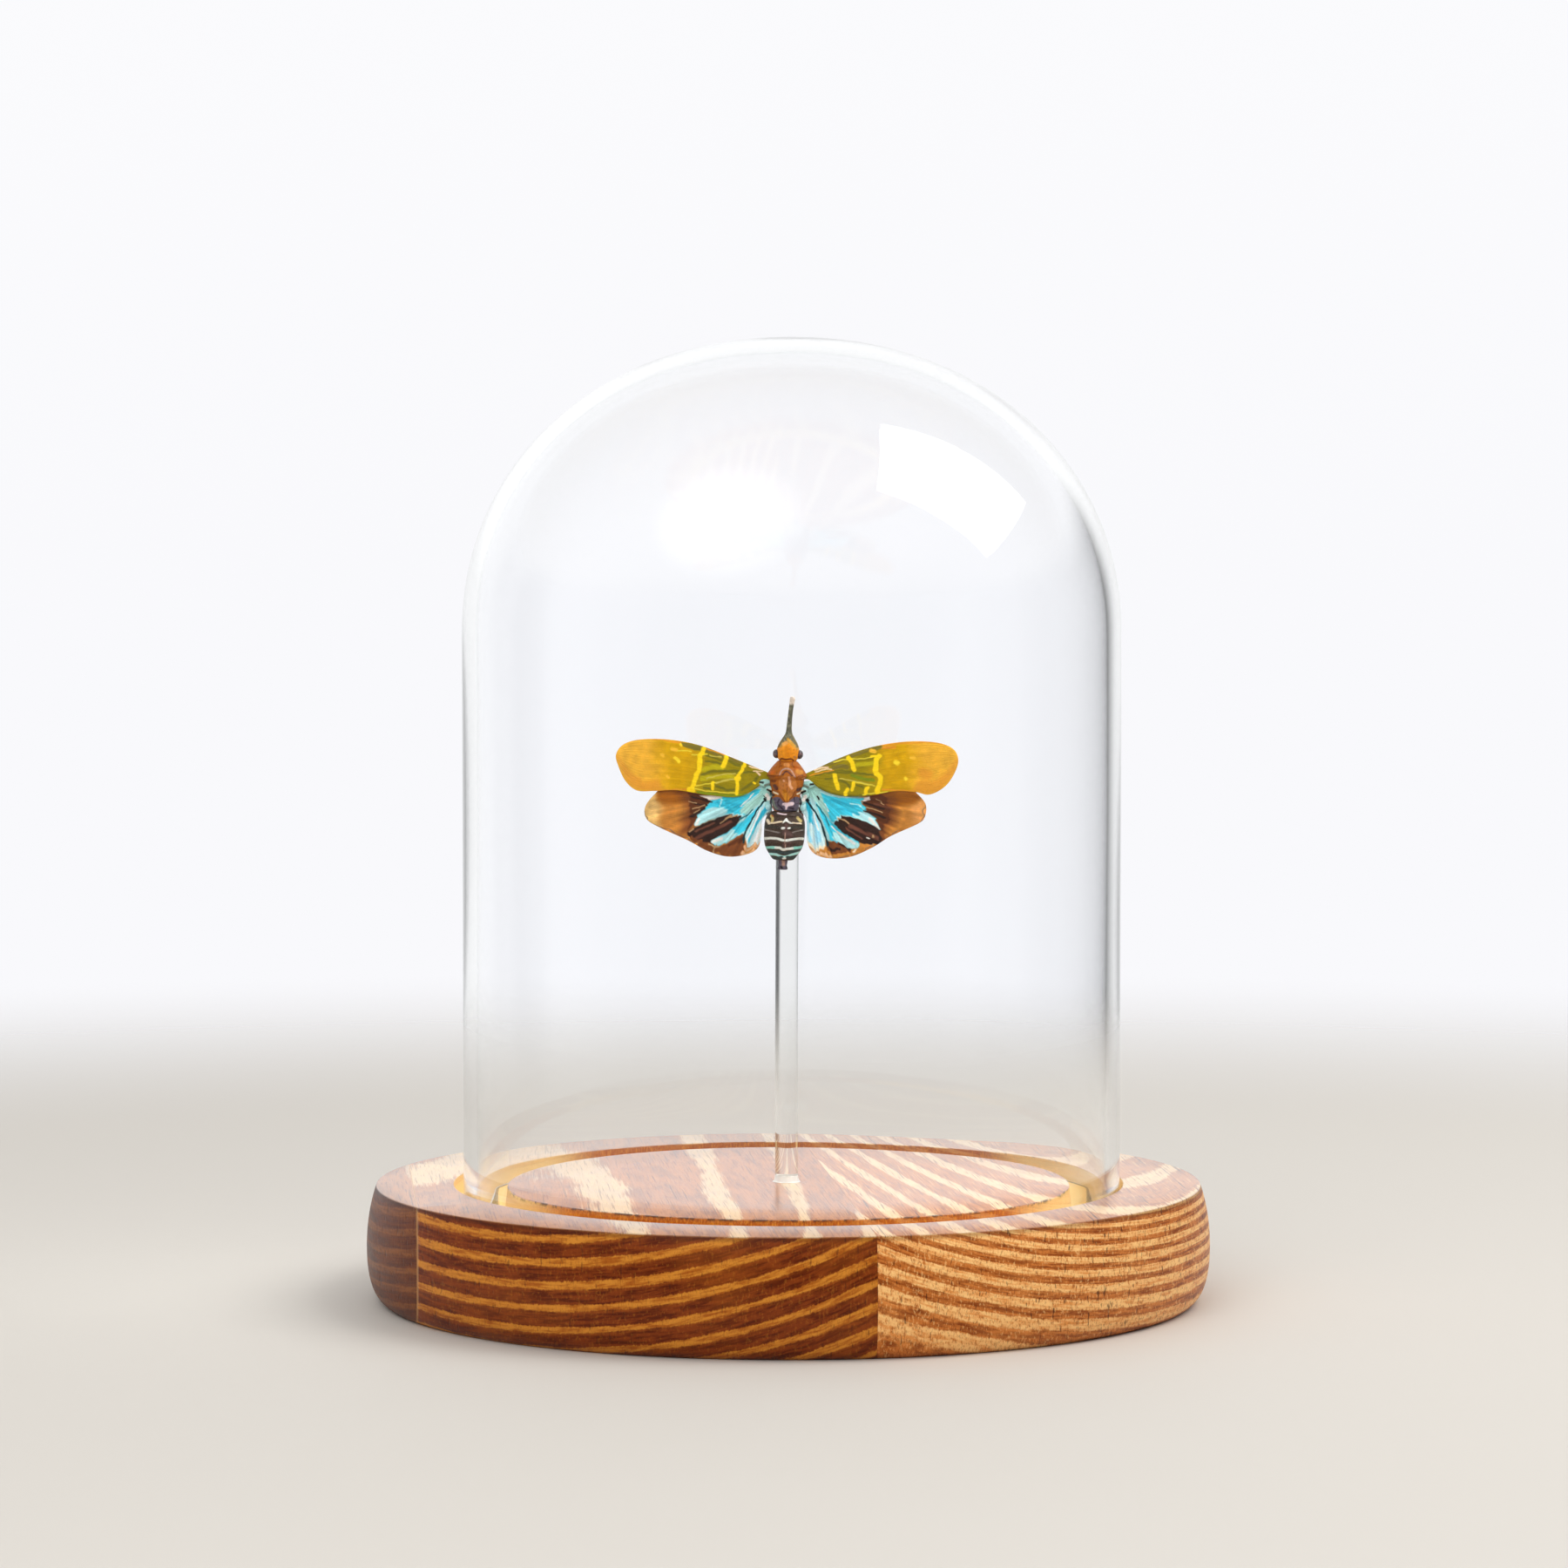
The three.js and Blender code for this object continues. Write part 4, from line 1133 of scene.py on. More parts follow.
@dataclass
class Studio:
    """The camera, the pale room, its soft lamps and the floor."""

    eye: Spot3 = (-0.673, -869.8, 129.7)
    pitch: float = 3.31
    lens: float = 130.0
    sensor: float = 36.0
    sky: tuple[Colour, Colour] = (linear(249, 249, 252), linear(251, 251, 253))
    sky_back: float = 1.0
    sky_side: float = 0.60
    sky_front: float = 0.09
    flag: float = 0.10
    sky_through: Colour = (1.008, 1.016, 1.060, 1.0)
    window: float = 0.12
    glow_towards: Spot3 = (-0.34, -0.60, 0.72)
    glow_strength: float = 1.25
    box_at: Spot3 = (447.0, -28.0, 590.0)
    box_across: Spot3 = (363.0, 124.0, -308.0)
    box_along: Spot3 = (-86.0, 359.0, 118.0)
    box_power: float = 2.4
    fill_at: Spot3 = (-220.0, -800.0, 420.0)
    fill_across: Spot3 = (386.0, -106.0, 0.0)
    fill_along: Spot3 = (43.0, 156.0, 362.0)
    fill_power: float = 2.5
    floor_radius: float = 1200.0
    floor: StageFinish = StageFinish("pale_floor", linear(210, 204, 195), 240.0, 560.0)

    def build(self) -> None:
        """Sets the camera, the room, the lamps and the floor."""
        bpy.context.scene.view_settings.view_transform = "Standard"
        self.camera()
        self.room()
        self.lamp("softbox", self.box_at, self.box_across, self.box_along, self.box_power)
        fill = self.lamp("fill", self.fill_at, self.fill_across, self.fill_along, self.fill_power)
        fill.visible_glossy = False
        fill.visible_transmission = False
        self.ground()

    def camera(self) -> None:
        """The camera, level but for its pitch, with everything sharp."""
        view = bpy.data.cameras.new("camera")
        view.lens, view.sensor_width, view.clip_end = self.lens, self.sensor, 20.0
        eye = bpy.data.objects.new("camera", view)
        eye.location = [part * MM for part in self.eye]
        eye.rotation_euler = (math.radians(90 - self.pitch), 0.0, 0.0)
        bpy.context.scene.collection.objects.link(eye)
        bpy.context.scene.camera = eye

    def room(self) -> None:
        """A white room. Seen directly it is even; as light it is bright behind, dim in front at eye height.

        A grey flag stands low on the right and a narrow one low on the left, to draw dark lines
        down the edges of clear things, and hardly dim the light on matt ones. A broad soft glow
        hangs up in front. Straight through the dome's two walls, which is four surfaces, the room
        is even and has no flags.
        """
        g = Graph(bpy.data.worlds.new("room"))
        bpy.context.scene.world = g.block
        towards = g.wire("ShaderNodeTexCoord", output="Generated")
        side, depth, up = g.parts(towards)
        front = up.ramp(0.15, 0.65, self.sky_front, self.sky_side)
        level = front + depth.ramp(-0.75, 0.0) * (self.sky_side - front)
        level = level + depth.ramp(0.3, 0.9, 0.0, self.sky_back - self.sky_side)
        low = up.size().ramp(0.16, 0.34, 1.0, 0.0)
        right = side.ramp(0.34, 0.62) * depth.ramp(-0.55, -0.25)
        left = side.ramp(-0.94, -0.88, 1.0, 0.0) * depth.ramp(0.05, 0.16) * 0.6
        path = g.node("ShaderNodeLightPath")
        direct, soft, through, walls = (Wire(g, path.outputs[name]) for name in (
            "Is Camera Ray", "Is Diffuse Ray", "Is Transmission Ray", "Transmission Depth"))
        level = level * (1 - low * right.most(left) * (1 - self.flag) * (1 - soft * 0.8))
        pane = up.ramp(0.04, 0.16) * up.ramp(0.30, 0.50, 1.0, 0.0) * depth.ramp(0.7, 0.9)
        level = level + pane * self.window
        facing = g.wire("ShaderNodeVectorMath", {"operation": "DOT_PRODUCT"}, {
            0: towards, 1: self.glow_towards}, output="Value")
        level = level + facing.ramp(0.885, 0.98, 0.0, self.glow_strength)
        straight = (walls - 4).size().ramp(0.2, 0.8, 1.0, 0.0) * through
        light = g.blend(level / 5, NO_LIGHT, (4.94, 4.98, 5.04, 1.0))
        light = g.blend(straight, light, self.sky_through)
        seen = g.blend(up.ramp(-0.05, 0.12), *self.sky)
        sky = g.blend(direct, light, seen)
        g.finish(g.wire("ShaderNodeBackground", None, {"Color": sky}), "ShaderNodeOutputWorld")

    def lamp(self, name: str, at: Spot3, across: Spot3, along: Spot3, power: float) -> Piece:
        """A rectangular area lamp.

        Args:
            name: its name.
            at: its middle.
            across: its width, as a vector.
            along: its height, as a vector square to the width; it shines against across x along.
            power: its watts.

        Returns:
            The lamp's object.
        """
        light = bpy.data.lights.new(name, "AREA")
        wide, high = np.asarray(across), np.asarray(along)
        light.shape, light.energy = "RECTANGLE", power
        light.size, light.size_y = np.linalg.norm(wide) * MM, np.linalg.norm(high) * MM
        right = wide / np.linalg.norm(wide)
        away = np.cross(wide, high) / np.linalg.norm(np.cross(wide, high))
        box = bpy.data.objects.new(name, light)
        box.location = [part * MM for part in at]
        box.rotation_euler = Matrix((right, np.cross(away, right), away)).transposed().to_euler()
        box.visible_camera = False
        bpy.context.scene.collection.objects.link(box)
        return box

    def ground(self) -> None:
        """The floor: one flat disc just under the base."""
        angle = np.linspace(0, 2 * math.pi, 96, endpoint=False)
        rim = np.stack([np.cos(angle), np.sin(angle), 0 * angle], 1) * self.floor_radius * MM
        mesh = bpy.data.meshes.new("floor")
        mesh.from_pydata(rim.tolist(), [], [list(range(len(rim)))])
        mesh.materials.append(self.floor.material())
        disc = bpy.data.objects.new("floor", mesh)
        bpy.context.scene.collection.objects.link(disc)


MIDDLE_RINGS = Rings(-45.044, 0.1144, 283.96, 0.0232, 1.961, 275.326, (2.575, 3.0373), 0.30, 0.10)
RIGHT_RINGS = Rings(48.60, 0.0313, 89.81, -0.0448, 0.777, 80.401, (-0.7939, 5.3173, -1.2944), 0.48, 0.16)
LEFT_RINGS = Rings(-90.0, 0.05, 120.0, 0.02, 1.0, 110.0, (0.0, 3.7), 0.34, 0.20)


@dataclass
class PineBase:
    """The round base: three glued staves turned as one, with a ring groove and a blind hole."""

    thickness: float = DECK
    top_radius: float = 63.5
    widest: float = 65.0
    foot_radius: float = 61.8
    groove: Spot = GROOVE
    groove_floor: float = GROOVE_FLOOR
    bore: float = 2.05
    bore_x: float = -0.2
    bore_floor: float = 10.0
    turn: float = 5.0
    seams: Spot = (-57.9, 7.2)
    gap: float = 0.02
    arris: float = 0.22
    segments: int = 288
    finishes: tuple[PineFinish, ...] = (
        PineFinish("pine_left", LEFT_RINGS, dark=linear(76, 26, 2), dark_red=linear(106, 48, 12),
                   light=linear(146, 86, 34), light_warm=linear(122, 64, 22), contrast=0.6, speckle=0.5),
        PineFinish("pine_middle", MIDDLE_RINGS),
        PineFinish("pine_right", RIGHT_RINGS, dark=linear(134, 62, 14), dark_red=linear(200, 116, 50),
                   light=linear(255, 204, 132), light_warm=linear(234, 154, 80), contrast=0.9, speckle=0.9,
                   dashes=0.7),
    )

    @staticmethod
    def _bend(start: Spot, pull: Spot, end: Spot, steps: int) -> Array:
        """A quadratic curve from start to end drawn towards pull, without its last point."""
        t = np.linspace(0, 1, steps, endpoint=False)[:, None]
        a, b, c = (np.asarray(point) for point in (start, pull, end))
        return (1 - t) ** 2 * a + 2 * t * (1 - t) * b + t * t * c

    def profile(self) -> Array:
        """Radius and height from the foot's middle, round the edge and over the top, to the hole's floor."""
        high, soft, top = self.thickness, self.arris, self.top_radius
        inner, outer = self.groove
        lip, floor, bore = high - soft, self.groove_floor, self.bore
        corners = (
            ((self.foot_radius, 0), (self.widest, 1), (self.widest, 8.5), 12),
            ((self.widest, 8.5), (self.widest, 13.5), (top + 0.05, lip), 12),
            ((top + 0.05, lip), (top, high), (top - soft, high), 4),
            ((outer + soft, high), (outer, high), (outer, lip), 4),
            ((outer, floor + 0.4), (outer, floor), (outer - 0.4, floor), 4),
            ((inner + 0.4, floor), (inner, floor), (inner, floor + 0.4), 4),
            ((inner, lip), (inner, high), (inner - soft, high), 4),
        )
        foot = [(radius, 0.0) for radius in (0, 2, 8, 20, 35, 50)]
        deck = [(radius, high) for radius in (30, 18, 8, 4)]
        mouth = self._bend((bore + 0.12, high), (bore, high), (bore, high - 0.12), 3)
        hole = [(bore, self.bore_floor), (0, self.bore_floor)]
        return np.vstack([foot, *(self._bend(*corner) for corner in corners), deck, mouth, hole])

    def disc(self) -> bpy.types.Mesh:
        """The whole disc as one lathe, its axis easing over to the hole's near the middle."""
        profile = self.profile()
        shift = self.bore_x * (1 - ease(3.0, 8.0, profile[:, 0]))
        rings = turned(profile, self.segments, np.stack([shift, 0 * shift], 1))
        return Skin().add(rings).mesh("disc")

    def stave(self, disc: bpy.types.Mesh, low: float | None, high: float | None, name: str) -> bpy.types.Mesh:
        """One stave: the disc cut at one or two seams, each cut closed and triangulated.

        Args:
            disc: the whole disc.
            low: the seam on its left, or None where it has none.
            high: the seam on its right, or None.
            name: the mesh's name.

        Returns:
            The stave's mesh.
        """
        shape = bmesh.new()
        shape.from_mesh(disc)
        across = np.array([math.cos(math.radians(self.turn)), math.sin(math.radians(self.turn)), 0.0])
        for seam, way in ((low, -1), (high, 1)):
            if seam is None:
                continue
            spot = across * (seam - way * self.gap / 2) * MM
            parts = [*shape.verts, *shape.edges, *shape.faces]
            cut = bmesh.ops.bisect_plane(
                shape, geom=parts, dist=1e-7, plane_co=spot, plane_no=across * way, clear_outer=True)
            rim = [part for part in cut["geom_cut"] if isinstance(part, bmesh.types.BMEdge)]
            caps = bmesh.ops.holes_fill(shape, edges=rim)["faces"]
            bmesh.ops.triangulate(shape, faces=caps)
        bmesh.ops.recalc_face_normals(shape, faces=shape.faces)
        mesh = bpy.data.meshes.new(name)
        shape.to_mesh(mesh)
        shape.free()
        mesh.polygons.foreach_set("use_smooth", np.ones(len(mesh.polygons), bool))
        mesh.set_sharp_from_angle(angle=math.radians(38))
        return mesh

    def build(self) -> list[Piece]:
        """The three staves."""
        disc = self.disc()
        bounds = ((None, self.seams[0]), self.seams, (self.seams[1], None))
        made = []
        for side, finish, (low, high) in zip(("left", "middle", "right"), self.finishes, bounds, strict=True):
            mesh = self.stave(disc, low, high, f"{side}_stave")
            made.append(settle(f"{side}_stave", mesh, finish.material(), f"base_stave_{side}"))
        bpy.data.meshes.remove(disc)
        return made


@dataclass
class GlassDome:
    """The blown glass dome: a thin wall, a high round shoulder and a fire-polished rim."""

    x: float = 0.5
    radius: float = 50.6
    wall: float = 2.2
    foot: float = 15.25
    shoulder: float = 102.6
    rise: float = 45.4
    roundness: float = 2.1
    segments: int = 224
    finish: ClearFinish = ClearFinish("clear_glass", 1.46, (0.997, 0.999, 0.998, 1.0), wave=0.03, smudge=0.02)

    def shell(self, inset: float) -> Array:
        """The wall from near the foot to the pole: straight, then |r/R|^k + |h/rise|^k = 1."""
        angle = np.linspace(0, math.pi / 2, 56)
        radius, rise = self.radius - inset, self.rise - inset
        power = 2 / self.roundness
        out = radius * np.cos(angle) ** power
        up = self.shoulder + rise * np.sin(angle) ** power
        out[-1] = 0.0
        wall = np.linspace(self.foot + self.wall / 2, self.shoulder, 24, endpoint=False)
        return np.vstack([np.stack([np.full(24, radius), wall], 1), np.stack([out, up], 1)])

    def build(self) -> list[Piece]:
        """The dome as one closed skin: down the outside, round the rim, up the inside."""
        turn = np.linspace(0, -math.pi, 12)[1:-1]
        half = self.wall / 2
        rim = np.stack([self.radius - half + half * np.cos(turn), self.foot + half + half * np.sin(turn)], 1)
        outside, inner = self.shell(0.0)[::-1], self.shell(self.wall)
        profile = np.vstack([outside, rim, inner])
        rings = turned(profile, self.segments, (self.x, 0.0))
        angle = np.linspace(0, 2 * math.pi, self.segments, endpoint=False)
        start = len(outside) + len(rim)
        lift = inner[:, 1:] / 26
        sway = 0.04 * np.sin(3 * angle + lift) + 0.03 * np.sin(5 * angle - 1.7 * lift + 1)
        fade = np.clip(inner[:, :1] / self.radius, 0, 1) * ease(self.foot + 1, self.foot + 6, inner[:, 1:])
        rings[start:, :, 0] += sway * fade * np.cos(angle)
        rings[start:, :, 1] += sway * fade * np.sin(angle)
        mesh = Skin().add(rings).mesh("dome")
        return [settle("dome", mesh, self.finish.material(), "glass_dome")]


@dataclass
class Rod:
    """The clear rod that stands in the base's hole and carries the insect."""

    x: float = -0.2
    radius: float = 1.75
    low: float = 10.3
    high: float = 78.3
    finish: ClearFinish = ClearFinish("clear_acrylic", 1.49, (0.99, 0.993, 0.996, 1.0), wave=0.01)

    def build(self) -> list[Piece]:
        """The rod: a straight lathe with its ends' edges broken."""
        r, soft = self.radius, 0.15
        foot = [(0, self.low), (r - soft, self.low), (r, self.low + soft)]
        side = [(r, height) for height in np.linspace(self.low + 1, self.high - 1, 24)]
        top = [(r, self.high - soft), (r - soft, self.high), (0, self.high)]
        rings = turned(np.asarray([*foot, *side, *top], float), 72, (self.x, 0.0))
        mesh = Skin().add(rings).mesh("rod_bar")
        mesh.set_sharp_from_angle(angle=math.radians(50))
        return [settle("rod_bar", mesh, self.finish.material(), "rod")]


@dataclass
class Glue:
    """The clear glue: a meniscus round the rod's foot and a blob behind the insect's thorax."""

    x: float = -0.2
    rod: float = 1.77
    spread: float = 2.2
    deck: float = 18.01
    climb: float = 1.0
    blob_at: Spot3 = (-0.2, -2.35, 75.0)
    blob_half: Spot3 = (1.85, 0.85, 2.9)
    finish: ClearFinish = ClearFinish(
        "clear_glue", 1.45, (0.99, 0.97, 0.92, 1.0), 0.03, 0.06, 0.6, 0.1, milk=0.5)

    def build(self) -> list[Piece]:
        """The ring, hollow-cheeked from its toe up the rod, and the blob, both a little uneven."""
        t = np.linspace(0, 1, 20)
        toe = self.spread - (self.spread - self.rod) * t**0.45
        cheek = np.stack([toe, self.deck + self.climb * t**1.6], 1)
        inner = np.stack([np.full(4, self.rod), self.deck + self.climb * np.array([0.75, 0.5, 0.25, 0.0])], 1)
        rings = turned(np.vstack([cheek, inner]), 72, (self.x, 0.0))
        angle = np.linspace(0, 2 * math.pi, 72, endpoint=False)
        rings[:20, :, 2] += ((1 - t) * t)[:, None] * (0.25 * np.sin(2 * angle + 1) + 0.15 * np.sin(5 * angle))
        ring = Skin().add(rings, looped=True).mesh("foot_glue")
        blob = lumpy(ball(self.blob_at, self.blob_half, 40), self.blob_at, 0.06, 1.1, 41, 9)
        bead = Skin().add(blob).mesh("top_glue")
        material = self.finish.material()
        return [
            settle("foot_glue", ring, material, "glue_foot"),
            settle("top_glue", bead, material, "glue_top"),
        ]


# ---- the insect's body ----


@dataclass(frozen=True)
class Stance:
    """Where the insect hangs, and how far it leans to its left."""

    origin: Spot3 = (-0.28, -5.4, 80.85)
    lean: float = 2.4

    def placed(self, local: Array) -> Array:
        """Points of the insect's own frame turned about y, then moved to their place."""
        c, s = math.cos(math.radians(self.lean)), math.sin(math.radians(self.lean))
        x, y, z = np.moveaxis(np.asarray(local, float), -1, 0)
        return np.stack([x * c + z * s, y, z * c - x * s], -1) + self.origin


STANCE = Stance()
ORANGE_SKIN = CuticleFinish("orange_skin", 0.42, 0.30, 2.6, 0.04, 0.06)
BANDED_SKIN = CuticleFinish("banded_skin", 0.45, 0.25, 3.0, 0.03, 0.04, 0.08)
DARK_SKIN = CuticleFinish("dark_skin", 0.38, 0.35, 3.4, 0.03, 0.10)
Part = tuple[Array, Tint]


def assembled(name: str, parts: Iterable[Part], finish: bpy.types.Material, node: str) -> Piece:
    """One piece of the insect from parts, each its rings in the insect's frame and a tint."""
    skin = Skin()
    for rings, tint in parts:
        skin.add(STANCE.placed(rings), tint.over(rings.shape))
    return settle(name, skin.mesh(name), finish, node)


@dataclass
class Segment:
    """One part of the body: elliptical rings up it, their half width following a profile.

    Its back, towards the front, carries the marks; its belly is plain.
    """

    name: str
    node: str
    slot: Slot
    profile: tuple[Spot, ...]
    ratio: float
    finish: CuticleFinish
    ground: Tint
    belly: Tint
    marks: Marks = ()
    seed: int = 0
    rows: int = 110
    columns: int = 160

    def section(self) -> Array:
        """Half width and height, row by row, with both ends rounded in to a point."""
        path = smooth_path(self.profile, 12)
        return resampled(path, np.linspace(0, 1, self.rows))

    def ratio_at(self, height: Array) -> Array:
        """Depth over width at each height, the same all the way up."""
        return np.full(height.shape, self.ratio)

    def ground_at(self, spots: Array) -> Array:
        """The colour under the marks."""
        return self.ground.over((len(spots), 3))

    def relief(self, spots: Array) -> Array:
        """How far the back stands out, in millimetres."""
        return np.zeros(len(spots))

    def bend(self, local: Array) -> Array:
        """Moves the finished rings, for a part that curves."""
        return local

    def shape(self) -> tuple[Array, Array]:
        """The rings in the insect's frame, and their colours."""
        section = self.section()
        rings = turned(section, self.columns)
        ratio = self.ratio_at(section[:, 1:])
        rings[..., 1] *= ratio
        spots = rings[..., [0, 2]].reshape(-1, 2)
        depth = np.maximum(section[:, :1] * ratio, 1e-6)
        back = ease(-0.05, 0.35, -rings[..., 1] / depth)
        tones = painted(spots, self.ground_at(spots), self.marks, self.seed).reshape(rings.shape)
        tones = mix(self.belly.value, tones, back[..., None])
        rise = self.relief(spots).reshape(rings.shape[:2]) * ease(0.0, 0.5, -rings[..., 1] / depth)
        rings[..., 1] -= rise * (section[:, :1] > 0.02)
        return self.bend(rings), tones

    def build(self) -> list[Piece]:
        """The part, in its place."""
        rings, tones = self.shape()
        mesh = Skin().add(STANCE.placed(rings), tones).mesh(self.name)
        return [settle(self.name, mesh, self.finish.material(), self.node)]


@dataclass
class Head(Segment):
    """The head with its long snout, which curves forward as the square of its height."""

    snout_from: float = 5.0
    snout_to: float = 12.4
    forward: float = 1.2
    aside: float = 0.33

    def ground_at(self, spots: Array) -> Array:
        """Orange below, grey-green and speckled up the snout, pinkish at the tip."""
        z = spots[:, 1]
        speck = ease(0.25, 0.6, ripple(spots * (1.6, 1.0), 0.28, 71))[:, None]
        snout = mix((96, 96, 78), (160, 156, 128), 0.6 * speck)
        up = ease(4.9, 5.9, z + 0.55 * np.abs(spots[:, 0]) + 0.2 * ripple(spots, 0.7, 72))[:, None]
        tip = ease(10.8, 11.4, z)[:, None]
        return mix(mix((235, 145, 20), snout, up), (236, 222, 206), tip)

    def relief(self, spots: Array) -> Array:
        """A low keel down the middle of the brow, and a wrinkled nape."""
        x, z = spots.T
        keel = 0.16 * np.exp(-((x / 0.35) ** 2)) * ease(2.4, 3.6, z) * (1 - ease(5.2, 6.5, z))
        cheeks = 0.12 * np.exp(-(((np.abs(x) - 1.0) / 0.35) ** 2))
        cheeks *= ease(2.6, 3.4, z) * (1 - ease(4.2, 5.2, z))
        return keel + cheeks + 0.03 * ripple(spots, 0.3, 73)

    def bend(self, local: Array) -> Array:
        """Carries the snout forward and aside, by the square of its share of the way up."""
        share = np.clip((local[..., 2] - self.snout_from) / (self.snout_to - self.snout_from), 0, 1)
        local[..., 1] -= self.forward * share**2
        local[..., 0] += self.aside * np.clip((local[..., 2] - 6.6) / 5.4, 0, 1) ** 2
        return local


SHIELD = ((-1.35, 0.72), (0.0, 0.95), (1.35, 0.72), (2.1, -0.3), (2.0, -1.6), (1.1, -2.9), (0.0, -3.95),
          (-1.1, -2.9), (-2.0, -1.6), (-2.1, -0.3))


def shield_relief(spots: Array) -> Array:
    """The raised shield that two segments share: a soft-edged plate whose keels meet below."""
    x, z = spots.T
    outline = smooth_path((*SHIELD, SHIELD[0]), 6)
    away = distance_to(outline, spots)
    depth = np.where(inside(outline, spots), away, -away)
    keels = np.exp(-(((np.abs(x) - 0.45 * ease(-3.9, -1.0, z)) / 0.14) ** 2)) * ease(0.1, 0.4, depth)
    return 0.30 * ease(-0.10, 0.35, depth) + 0.07 * keels


@dataclass
class Collar(Segment):
    """The first segment, a broad collar with pointed sides over the shield's front."""

    def relief(self, spots: Array) -> Array:
        """A raised front edge, a pair of hollows, and the front of the shield."""
        x, z = spots.T
        hollow = -0.10 * np.exp(-(((np.abs(x) - 0.9) / 0.35) ** 2) - ((z - 1.5) / 0.3) ** 2)
        lip = 0.10 * np.exp(-(((z - 1.95 + 0.10 * x**2) / 0.18) ** 2))
        keel = 0.08 * np.exp(-((x / 0.14) ** 2)) * ease(0.9, 1.1, z)
        return shield_relief(spots) + hollow + lip + keel + 0.04 * ripple(spots, 0.35, 81)


@dataclass
class WingBearer(Segment):
    """The second and third segments: the shield's point, two lobes, and the wings' hinge plates."""

    hinges: tuple[tuple[float, ...], ...] = (
        (3.25, 0.10, -1.05, 0.95, 0.30, 0.60), (2.60, -0.25, -1.95, 0.62, 0.34, 0.50),
        (2.95, 0.30, -2.75, 0.60, 0.30, 0.60), (2.45, 0.05, -3.55, 0.55, 0.36, 0.55),
        (2.65, 0.35, -4.45, 0.50, 0.30, 0.75),
    )

    def ratio_at(self, height: Array) -> Array:
        """Deep behind, and as flat as the collar where they meet."""
        return self.ratio + (0.74 - self.ratio) * ease(-1.6, -0.3, height)

    def relief(self, spots: Array) -> Array:
        """The shield, the lobes behind it and the rib beside it."""
        x, z = spots.T
        lobes = 0.18 * np.exp(-(((np.abs(x) - 1.15) / 0.42) ** 2) - ((z + 4.1) / 0.55) ** 2)
        rib = 0.14 * np.exp(-(((z + 3.30 + 0.30 * np.abs(x)) / 0.14) ** 2)) * ease(0.9, 1.3, np.abs(x))
        return shield_relief(spots) + lobes + rib + 0.03 * ripple(spots, 0.3, 91)

    def build(self) -> list[Piece]:
        """The part, with its hinge plates as small rounded scales at each side."""
        rings, tones = self.shape()
        skin = Skin().add(STANCE.placed(rings), tones)
        for way in (-1, 1):
            for x, y, z, *half in self.hinges:
                scale = ball((way * x, y, z), tuple(half), 36)
                flat = scale[..., [0, 2]].reshape(-1, 2)
                ground = Tint.MINT.over((len(flat), 3))
                tones = painted(flat * (way, 1), ground, HINGE_MARKS, 17).reshape(scale.shape)
                skin.add(STANCE.placed(scale), tones)
        return [settle(self.name, skin.mesh(self.name), self.finish.material(), self.node)]


@dataclass
class Abdomen(Segment):
    """The abdomen: overlapping plates, each hind edge standing a little over the next."""

    edges: tuple[float, ...] = (-5.9, -6.9, -7.9, -9.0, -10.1, -11.1, -11.9)

    def relief(self, spots: Array) -> Array:
        """A saw-tooth, steep under each plate's hind edge, and a low middle ridge."""
        x, z = spots.T
        bow = z + 0.045 * x**2
        rise = np.zeros(len(spots))
        for edge in self.edges:
            over = bow - edge
            rise += 0.13 * ease(0.0, 0.10, over) * (1 - ease(0.1, 0.95, over))
        ridge = 0.16 * np.exp(-((x / 0.25) ** 2))
        return rise + ridge + 0.025 * ripple(spots * (1, 2), 0.4, 95)


@dataclass
class Eyes:
    """The two compound eyes, one piece a side."""

    at: Spot3 = (1.72, 0.02, 3.5)
    half: Spot3 = (0.60, 0.66, 0.69)
    finish: EyeFinish = EyeFinish("eye_facets")

    def build(self) -> list[Piece]:
        """Left and right."""
        material = self.finish.material()
        x, y, z = self.at
        return [
            assembled(f"{side}_eye", [(ball((way * x, y, z), self.half, 48), Tint.MAROON)], material,
                      f"eye_{side}")
            for side, way in SIDES
        ]


@dataclass
class Antennae:
    """The short antennae: a ringed bulb under each eye, and a fine bristle."""

    at: Spot3 = (1.45, 1.4, 3.3)
    reach: Spot3 = (0.45, 1.1, 0.4)
    bulb: float = 0.3
    finish: CuticleFinish = ORANGE_SKIN

    def build(self) -> list[Piece]:
        """Left and right."""
        made = []
        material = self.finish.material()
        share = np.linspace(0, 1, 24)
        for side, way in SIDES:
            start, out = np.array(self.at) * (way, 1, 1), np.array(self.reach) * (way, 1, 1)
            bulb = ball(start, (self.bulb * 0.95, self.bulb, self.bulb * 0.9), 32)
            path = start + out * share[:, None]
            path[:, 2] += 0.18 * np.sin(math.pi * share)
            bristle = tube(path, 0.05 * (1 - share) + 0.012, 10)
            parts = [(lumpy(bulb, start, 0.05, 0.08, 51, 20), Tint.RUST_GOLD), (bristle, Tint.BROWN_DARK)]
            made.append(assembled(f"{side}_antenna", parts, material, f"antenna_{side}"))
        return made


